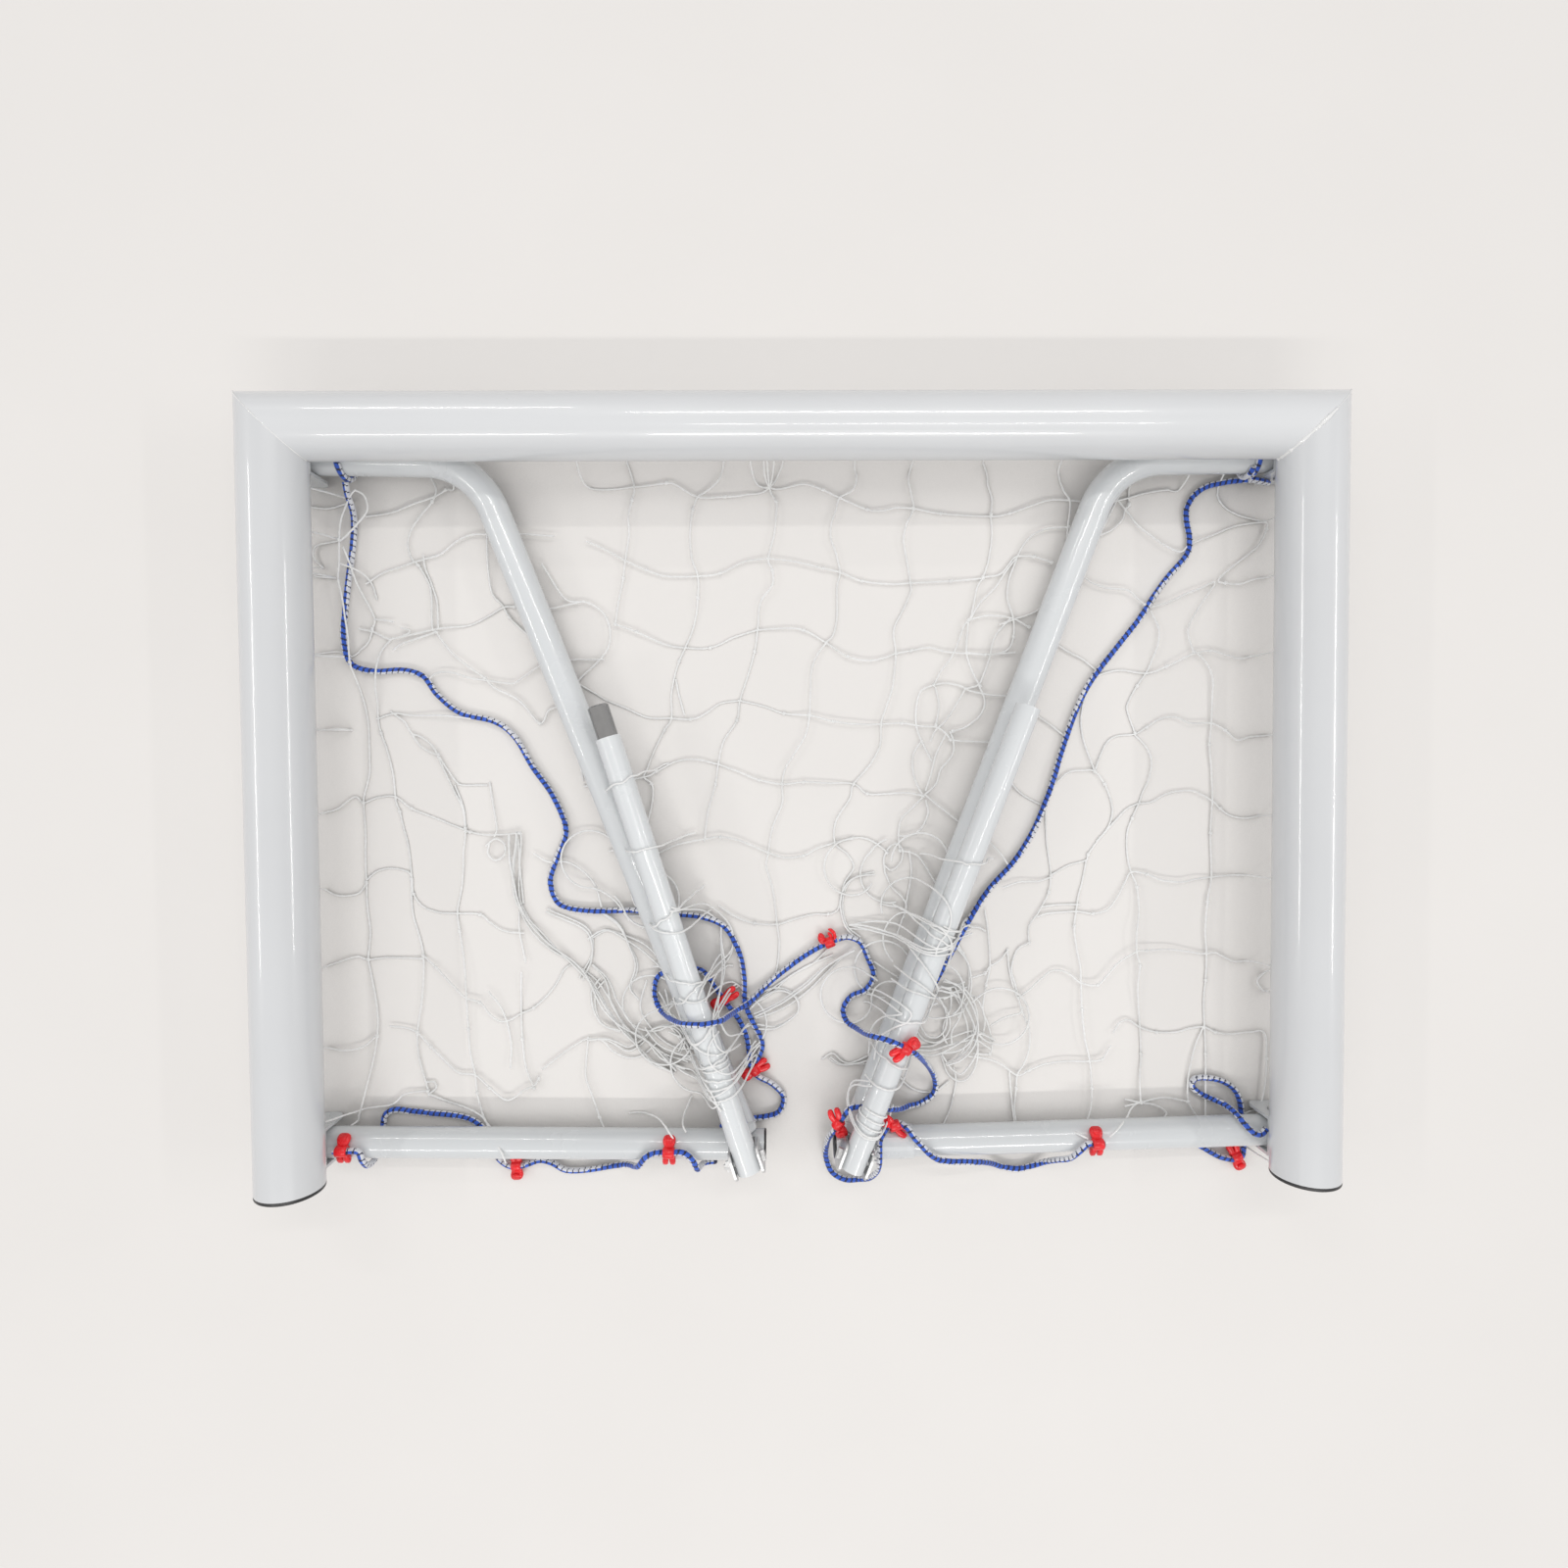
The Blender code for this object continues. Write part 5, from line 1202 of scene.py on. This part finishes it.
def net():
    """The side panels and what the sides carry, the rear panel in two halves, which stay where
    they lie, and the twine that hangs on the rear bar."""
    left = loose(LEFT_SLACK, 100, (("690,1040", 0.060, 3, 12), ("640,910", 0.050, 2, 13)))
    right = loose(RIGHT_SLACK, 200, (("985,1030", 0.050, 2, 21), ("925,900", 0.050, 3, 22),
                                     ("890,1000", 0.040, 2, 24)))
    for side, name, text, loops, *stands in (
        (-1, "left_net", LEFT_NET, left, "left_side_net"),
        (1, "right_net", RIGHT_NET, right, "right_side_net"),
        (1, "right_net_bunch", RIGHT_BUNCH, ()),
    ):
        stands_for(net_piece(name, text, loops), side_body(side), "net_twine", *stands)
    for (side, name), text in zip(SIDES, (REAR_NET_LEFT, REAR_NET_RIGHT)):
        made = net_piece(f"rear_net_{name}", text)
        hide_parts("rear_net")
        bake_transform(made)
    left_over = ((798, 0.15, 0.055, 1), (866, -0.1, 0.060, 2), (935, 0.3, 0.052, 3),
                 (1000, -0.35, 0.055, 4), (1012, 0.5, 0.050, 5), (1082, 0.2, 0.055, 6),
                 (1098, -0.25, 0.050, 7))
    right_over = ((946, 0.1, 0.075, 31), (958, -0.25, 0.060, 32), (880, 0.3, 0.050, 33),
                  (1082, -0.1, 0.055, 34), (1040, 0.35, 0.050, 35))
    hung = {
        "left": loose(LEFT_BAR_SLACK, 300, (("735,1060", 0.045, 2, 18),), "left", left_over,
                      ((1090, 1082, 1.6),)),
        "right": loose(RIGHT_BAR_SLACK, 400, (("935,985", 0.045, 2, 36),), "right", right_over,
                       ((1156, 1131, 3.4), (952, 944, 1.3))),
    }
    for name, loops in hung.items():
        stands_for(net_piece(f"{name}_bar_twine", "", loops), f"{name}_bar_half", "net_twine")


net()


# The red clips, as rounded bars through stations in millimetres: along the clip from the
# rope's eye, aside, up, half as wide and half as thick

CLIP_T = 0.0040
CLIP_HEAD = (
    (-20.5, 0, 4, 3, 1.4), (-19.8, 0, 4, 5.4, 3), (-18, 0, 4, 7.4, 4), (-15, 0, 4, 8.4, 4.4),
    (-12, 0, 4, 8.3, 4.3), (-8, 0, 4, 7.2, 4), (-5, 0, 4, 5.9, 3.8), (-1, 0, 4, 5.2, 3.8),
    (3, 0, 4, 5.6, 3.9), (6, 0, 4, 6.4, 3.8), (8, 0, 4, 5.8, 2.6),
)
CLIP_LEG = (
    (2, 2.6, 4, 2.8, 3), (6, 3.6, 4, 3.7, 3.9), (10, 4.4, 4, 4, 4.1), (14, 4.7, 4, 4, 4.1),
    (17.5, 4.7, 4, 3.7, 3.8), (19.5, 4.5, 4, 3, 3), (20.8, 4.3, 4, 1.6, 1.6),
)
CLIP_LIP = (
    (-18.5, 0, 5.5, 4.4, 1.2), (-17, 0, 8, 5.2, 1.6), (-14, 0, 9.6, 5.4, 1.5),
    (-11.5, 0, 9.8, 4.6, 1.2), (-10.5, 0, 9.6, 2.6, 0.7),
)
LOBE_SIDES = 14
EYE_SIDES = 22
EYE_CHAMFER = 0.0006
CLIP_SEAT = SIDE_TUBE_R + 0.0006
CLIP_STEP = 5.5 * ROPE_R
CLIP_ON_BAR = 8


def squared(value):
    """Swells a sine or cosine, which rounds a section between circle and square."""
    return math.copysign(abs(value) ** 0.62, value)


def clip(number, body, place, eye_at, eye_way, eye_width):
    """A clip, from its hooked head over a narrow waist to its two legs, with the ring that
    the rope runs through."""
    verts, faces = [], []
    for rows, way in ((CLIP_HEAD, 1), (CLIP_LEG, -1), (CLIP_LEG, 1), (CLIP_LIP, 1)):
        rings = []
        for row in rows:
            u, v, h, wide, thick = (n / 1000 for n in row)
            rings.append(ring(verts, LOBE_SIDES, lambda turn: place(
                u, way * v + wide * squared(math.cos(turn)), h + thick * squared(math.sin(turn)))))
        skin(faces, rings)
    inner = ROPE_R + 0.0004
    half = eye_width / 2
    profile = [(inner, EYE_CHAMFER - half), (inner + EYE_CHAMFER, -half),
               (EYE_R - 2 * EYE_CHAMFER, -half), (EYE_R, 2 * EYE_CHAMFER - half)]
    profile += [(r, -h) for r, h in reversed(profile)]
    turned(verts, faces, eye_at, eye_way, profile, EYE_SIDES, True)
    made = add_object(f"net_clip_{number}_moulding", verts, faces, RED, 50)
    stands_for(made, body, "red_plastic", f"net_clip_{number}")


def tube_clips():
    """Clips snapped round the ground tubes."""
    for side, number, out in ((-1, 1, 0.045), (-1, 2, 0.468), (1, 7, 0.250)):
        axis = on_side(side, out, -out * math.tan(SIDE_DROOP), SIDE_Z)
        way = off_hinge(side)
        away = Vector((-way.y, way.x, 0)) * side

        def bent(u, v, h):
            turn = TURN / 4 - (u - 0.0005) / (CLIP_SEAT + CLIP_T)
            return round_spot(axis + way * v, away, UP, CLIP_SEAT + h, turn)

        eye_at = axis + UP * (CLIP_TOP_Z - SIDE_Z)
        clip(number, side_body(side), bent, eye_at, way, 0.015)


tube_clips()


def rope_clips():
    """Clips that hang loose on the ropes, where their solids are: the clip's number, its rope,
    where it hangs, by how many degrees it is turned, and how tightly it is curled up. One of
    them lies on a bar half and goes with it."""
    for number, rope, near, turn, curl in (
        (3, "left_ground_rope", (0.256, -0.048), 0, 0), (4, "left_loop_rope", (0.5345, 0.184), 0, 0),
        (5, "left_loop_rope", (0.575, 0.088), 0, 0), (6, "left_loop_rope", (0.686, 0.2555), 0, 0.0080),
        (8, "right_loop_rope", (0.516, 0.1435), -28, 0), (9, "right_loop_rope", (0.586, 0.034), -40, 0),
        (10, "right_loop_rope", (0.513, 0.021), 50, 0), (11, "right_ground_rope", (0.045, -0.052), 0, 0),
    ):
        side = ROPES[rope][0]
        line = rope_route(rope, CLIP_STEP)
        spot = on_side(side, *near, 0)
        middles = [(a + b) / 2 for a, b in zip(line, line[1:])]
        k = min(range(len(middles)), key=lambda i: (middles[i].xy - spot.xy).length)
        at = middles[k]
        way = (line[k + 1] - line[k]).normalized()
        square = way.cross(UP).normalized() * side
        rise = square.cross(way).normalized() * side
        body = (Matrix.Rotation(math.radians(turn), 3, rise) @ square).normalized()
        across = rise.cross(body)

        def flat(u, v, h):
            if curl:
                swing = round_spot(Vector(), body, across, curl + 0.6 * v, u / curl)
                return at - body * curl + swing + rise * (h - CLIP_T)
            return at + body * (u + 0.001) + across * v + rise * (h - CLIP_T)

        clip(number, "right_bar_half" if number == CLIP_ON_BAR else side_body(side), flat, at, way, 0.013)


rope_clips()


# Welds

# A bead's lumps are a few waves: radians in a metre, where each starts, and how strong it is
LUMP_WAVES = ((180, 420), (0, 6), (0.4, 1))
FOOT_WELD_STEPS = 40
DRIPS = (101, 106, 112, 119, 158, 165, 177, 183)
DRIP_SPREAD = 2
DRIP_RADII = (0.0020, 0.0036)
DRIP_PROFILE = ((0.9, 0), (1, 0.5), (0.7, 1), (0.3, 1.15))


def bead(verts, faces, path, size, lumps, seed):
    chance = random.Random(seed)
    waves = [[chance.uniform(*limits) for limits in LUMP_WAVES] for _ in range(3)]
    far = 0.0
    sizes = []
    for i, at in enumerate(path):
        far += (at - path[i - 1]).length if i else 0
        swell = sum(a * math.sin(k * far + b) for k, b, a in waves) / 2
        sizes.append(size * (1 + lumps * swell))
    cord_tube(verts, faces, path, lambda i, turn: sizes[i], 10)


def mitre_path(side, from_turn, to_turn, steps):
    """Along the mitre where a post meets the crossbar, by the turn round the crossbar."""
    corner = Vector((side * POST_X, CROSSBAR_Y, FRAME_Z))
    path = []
    for share in shares(steps):
        turn = math.radians(from_turn + (to_turn - from_turn) * share)
        path.append(round_spot(corner, Vector((side, 1, 0)), UP, FRAME_TUBE_R, turn))
    return path


def welds():
    """A ground-down seam at the left corner and a lumpy bead at the right one, and the
    beads where the side frames' tubes meet."""
    verts, faces = [], []
    for row, size, lumps, seed in (((-1, -35, 185, 90), 0.0007, 0.25, 1),
                                   ((1, -35, 86, 40), 0.0005, 0.3, 2),
                                   ((1, 84, 186, 110), 0.0021, 0.4, 3)):
        bead(verts, faces, mitre_path(*row), size, lumps, seed)
    chance = random.Random(5)
    for turn in DRIPS:
        for _ in range(2):
            spot = mitre_path(1, turn + chance.uniform(-DRIP_SPREAD, DRIP_SPREAD), 0, 1)[0]
            r = chance.uniform(*DRIP_RADII)
            up = (spot - Vector((POST_X, CROSSBAR_Y, FRAME_Z))).normalized()
            turned(verts, faces, spot - up * r * 0.5, up, [(r * a, r * b) for a, b in DRIP_PROFILE], 10)
    # The corner beads take the lighter white: painted highlight.
    made = add_object("corner_welds", verts, faces, WELD_PAINT_AND_HIGHLIGHT, ALL_SMOOTH)
    stands_for(made, "front_frame", "white_paint")
    for side, name in SIDES:
        verts, faces = [], []
        (before, _), (foot, across) = side_route(side)[-2:]
        slant = (foot - before).normalized()
        path = []
        for share in shares(FOOT_WELD_STEPS):
            turn = TURN * share
            over = SIDE_TUBE_R * (0.95 - abs(math.cos(turn)) * 0.30)
            centre = foot - slant * over * (0.55 + 0.45 * abs(math.sin(turn)))
            path.append(round_spot(centre, across, UP, SIDE_TUBE_R + 0.0002, turn))
        bead(verts, faces, path, 0.0015, 0.35, 7)
        made = add_object(f"{name}_foot_weld", verts, faces, SIDE_WHITE, ALL_SMOOTH)
        stands_for(made, side_body(side), "white_paint")


welds()


# What stays as the part has it

CAD_FINISHES = {
    "white_paint": SIDE_WHITE,
    "black_plastic": BLACK,
    "red_plastic": RED,
    "bright_steel": BRIGHT,
    "galvanised_steel": ZINC,
    "net_twine": TWINE,
    "marker_rope": TWINE,
}


def dress_cad_nodes():
    slots = {row["node"]: row["material_slot"] for row in frame["record"]["subparts"]}
    for name, made in frame["nodes"].items():
        made.data.materials.clear()
        made.data.materials.append(CAD_FINISHES[slots[name]])


dress_cad_nodes()


# The room

FLOOR_SIZE = 6.0
FLOOR_Z = -0.0003
FLOOR_CLEAR = 0.42
LAMP_Z = 3.6
WARM = (1, 0.985, 0.96)


def floor():
    """A pale floor, whose colour is darkened where ambient occlusion finds pieces close above it:
    painted shade. The side frames swing down through it as the goal unfolds, so it lets the
    lamps and part of the view through."""
    made, tree, shader = shader_of("pale_floor")
    set_on(shader, Roughness=0.55)
    base = ramp(tree, noise(tree, 3, 3), (0.3, (0.80, 0.775, 0.75)), (0.7, (0.825, 0.80, 0.775)))
    # Painted shade: ambient occlusion darkens the floor's colour under and beside the pieces.
    under = node(tree, "AmbientOcclusion", samples=4, Distance=0.10).outputs["AO"]
    deep = node(tree, "Mix", data_type="RGBA", blend_type="MULTIPLY", Factor=1)
    feed(base, deep, "A")
    feed(ramp(tree, under, (0.25, 0.60), (0.62, 1)), deep, "B")
    feed(deep.outputs["Result"], shader, "Base Color")
    path = node(tree, "LightPath").outputs
    part = node(tree, "Math", operation="MULTIPLY_ADD")
    feed(path["Is Camera Ray"], part, 0)
    feed(ramp(tree, under, (0.35, 0), (0.80, FLOOR_CLEAR)), part, 1)
    feed(path["Is Shadow Ray"], part, 2)
    both = node(tree, "MixShader")
    feed(part.outputs["Value"], both, 0)
    feed(shader.outputs["BSDF"], both, 1)
    feed(node(tree, "BsdfTransparent").outputs["BSDF"], both, 2)
    feed(both.outputs["Shader"], tree.nodes["Material Output"], "Surface")
    corners = ((-1, -1), (1, -1), (1, 1), (-1, 1))
    verts = [Vector((x * FLOOR_SIZE, y * FLOOR_SIZE, FLOOR_Z)) for x, y in corners]
    add_object("floor", verts, [(0, 1, 2, 3)], made)


floor()


def lamp(name, at, aim, along, size, power, *lit):
    """A ceiling panel whose long side lies along a given way. Where pieces are named, it
    lights only them, so that no other tube mirrors it as a dot."""
    data = bpy.data.lights.new(name, "AREA")
    data.shape = "RECTANGLE"
    data.size, data.size_y = size
    data.energy = power
    data.color = WARM
    made = in_scene(name, data)
    at = Vector((*at, LAMP_Z))
    back = (at - Vector((*aim, 0))).normalized()
    length = (along - back * along.dot(back)).normalized()
    turn = Matrix((length, back.cross(length), back)).transposed()
    made.matrix_world = Matrix.Translation(at) @ turn.to_4x4()
    if lit:
        made.light_linking.receiver_collection = bpy.data.collections.new(f"lit_by_{name}")
        for piece in lit:
            made.light_linking.receiver_collection.objects.link(bpy.data.objects[piece])


def lights():
    """Long ceiling lamps, which draw the thin bright lines along the tubes."""
    lamp("lamp_middle", (0.75, -0.32), (0.3, 0), ALONG_X, (2.4, 0.06), 12, "crossbar_tube",
         "left_bent_tube", "right_bent_tube", "left_bar_tube", "right_bar_tube")
    lamp("lamp_left_bar", (0.45, 0), (-0.2, 0), Vector((0.28, -1, 0)), (2.0, 0.05), 9,
         "left_bar_tube", "left_spigot")
    lamp("lamp_behind", (0.55, 2.2), (0, 0.1), ALONG_X, (2.8, 0.12), 27)
    lamp("lamp_before", (0.55, -3.05), (0, 0), ALONG_X, (2.8, 0.12), 52)
    lamp("lamp_behind_left", (-2.1, 3.8), (-0.5, 0), ALONG_X, (1.6, 0.10), 16)
    lamp("lamp_before_left", (-2.1, -3.0), (-0.5, 0), ALONG_X, (1.6, 0.10), 18)
    lamp("lamp_left", (-4.9, 0.3), (0, 0), ALONG_Y, (3.4, 0.12), 42)
    lamp("lamp_right", (4.8, 0.1), (0, 0), ALONG_Y, (3.0, 0.12), 42)


lights()


def world():
    """Even light on the object, in front of a pale backdrop that mirrors show too."""
    made = bpy.data.worlds.new("room")
    bpy.context.scene.world = made
    made.use_nodes = True
    tree = made.node_tree
    back = set_on(tree.nodes["Background"], Color=(0.96, 0.97, 1.0, 1), Strength=0.54)
    pale = node(tree, "Background", Color=(0.86, 0.832, 0.805, 1))
    path = node(tree, "LightPath").outputs
    shown = path["Is Camera Ray"]
    for kind in ("Is Transmission Ray", "Is Glossy Ray"):
        either = node(tree, "Math", operation="MAXIMUM")
        feed(shown, either, 0)
        feed(path[kind], either, 1)
        shown = either.outputs["Value"]
    both = node(tree, "MixShader")
    feed(shown, both, 0)
    feed(back.outputs["Background"], both, 1)
    feed(pale.outputs["Background"], both, 2)
    feed(both.outputs["Shader"], tree.nodes["World Output"], "Surface")


world()


def camera():
    data = bpy.data.cameras.new("camera")
    data.sensor_width = SENSOR
    data.lens = SENSOR * FOCAL_PIXELS / PICTURE
    made = in_scene("camera", data)
    made.location = CAMERA_AT
    made.rotation_euler = CAMERA_TURN
    bpy.context.scene.camera = made


camera()
bpy.context.scene.view_settings.view_transform = "Standard"
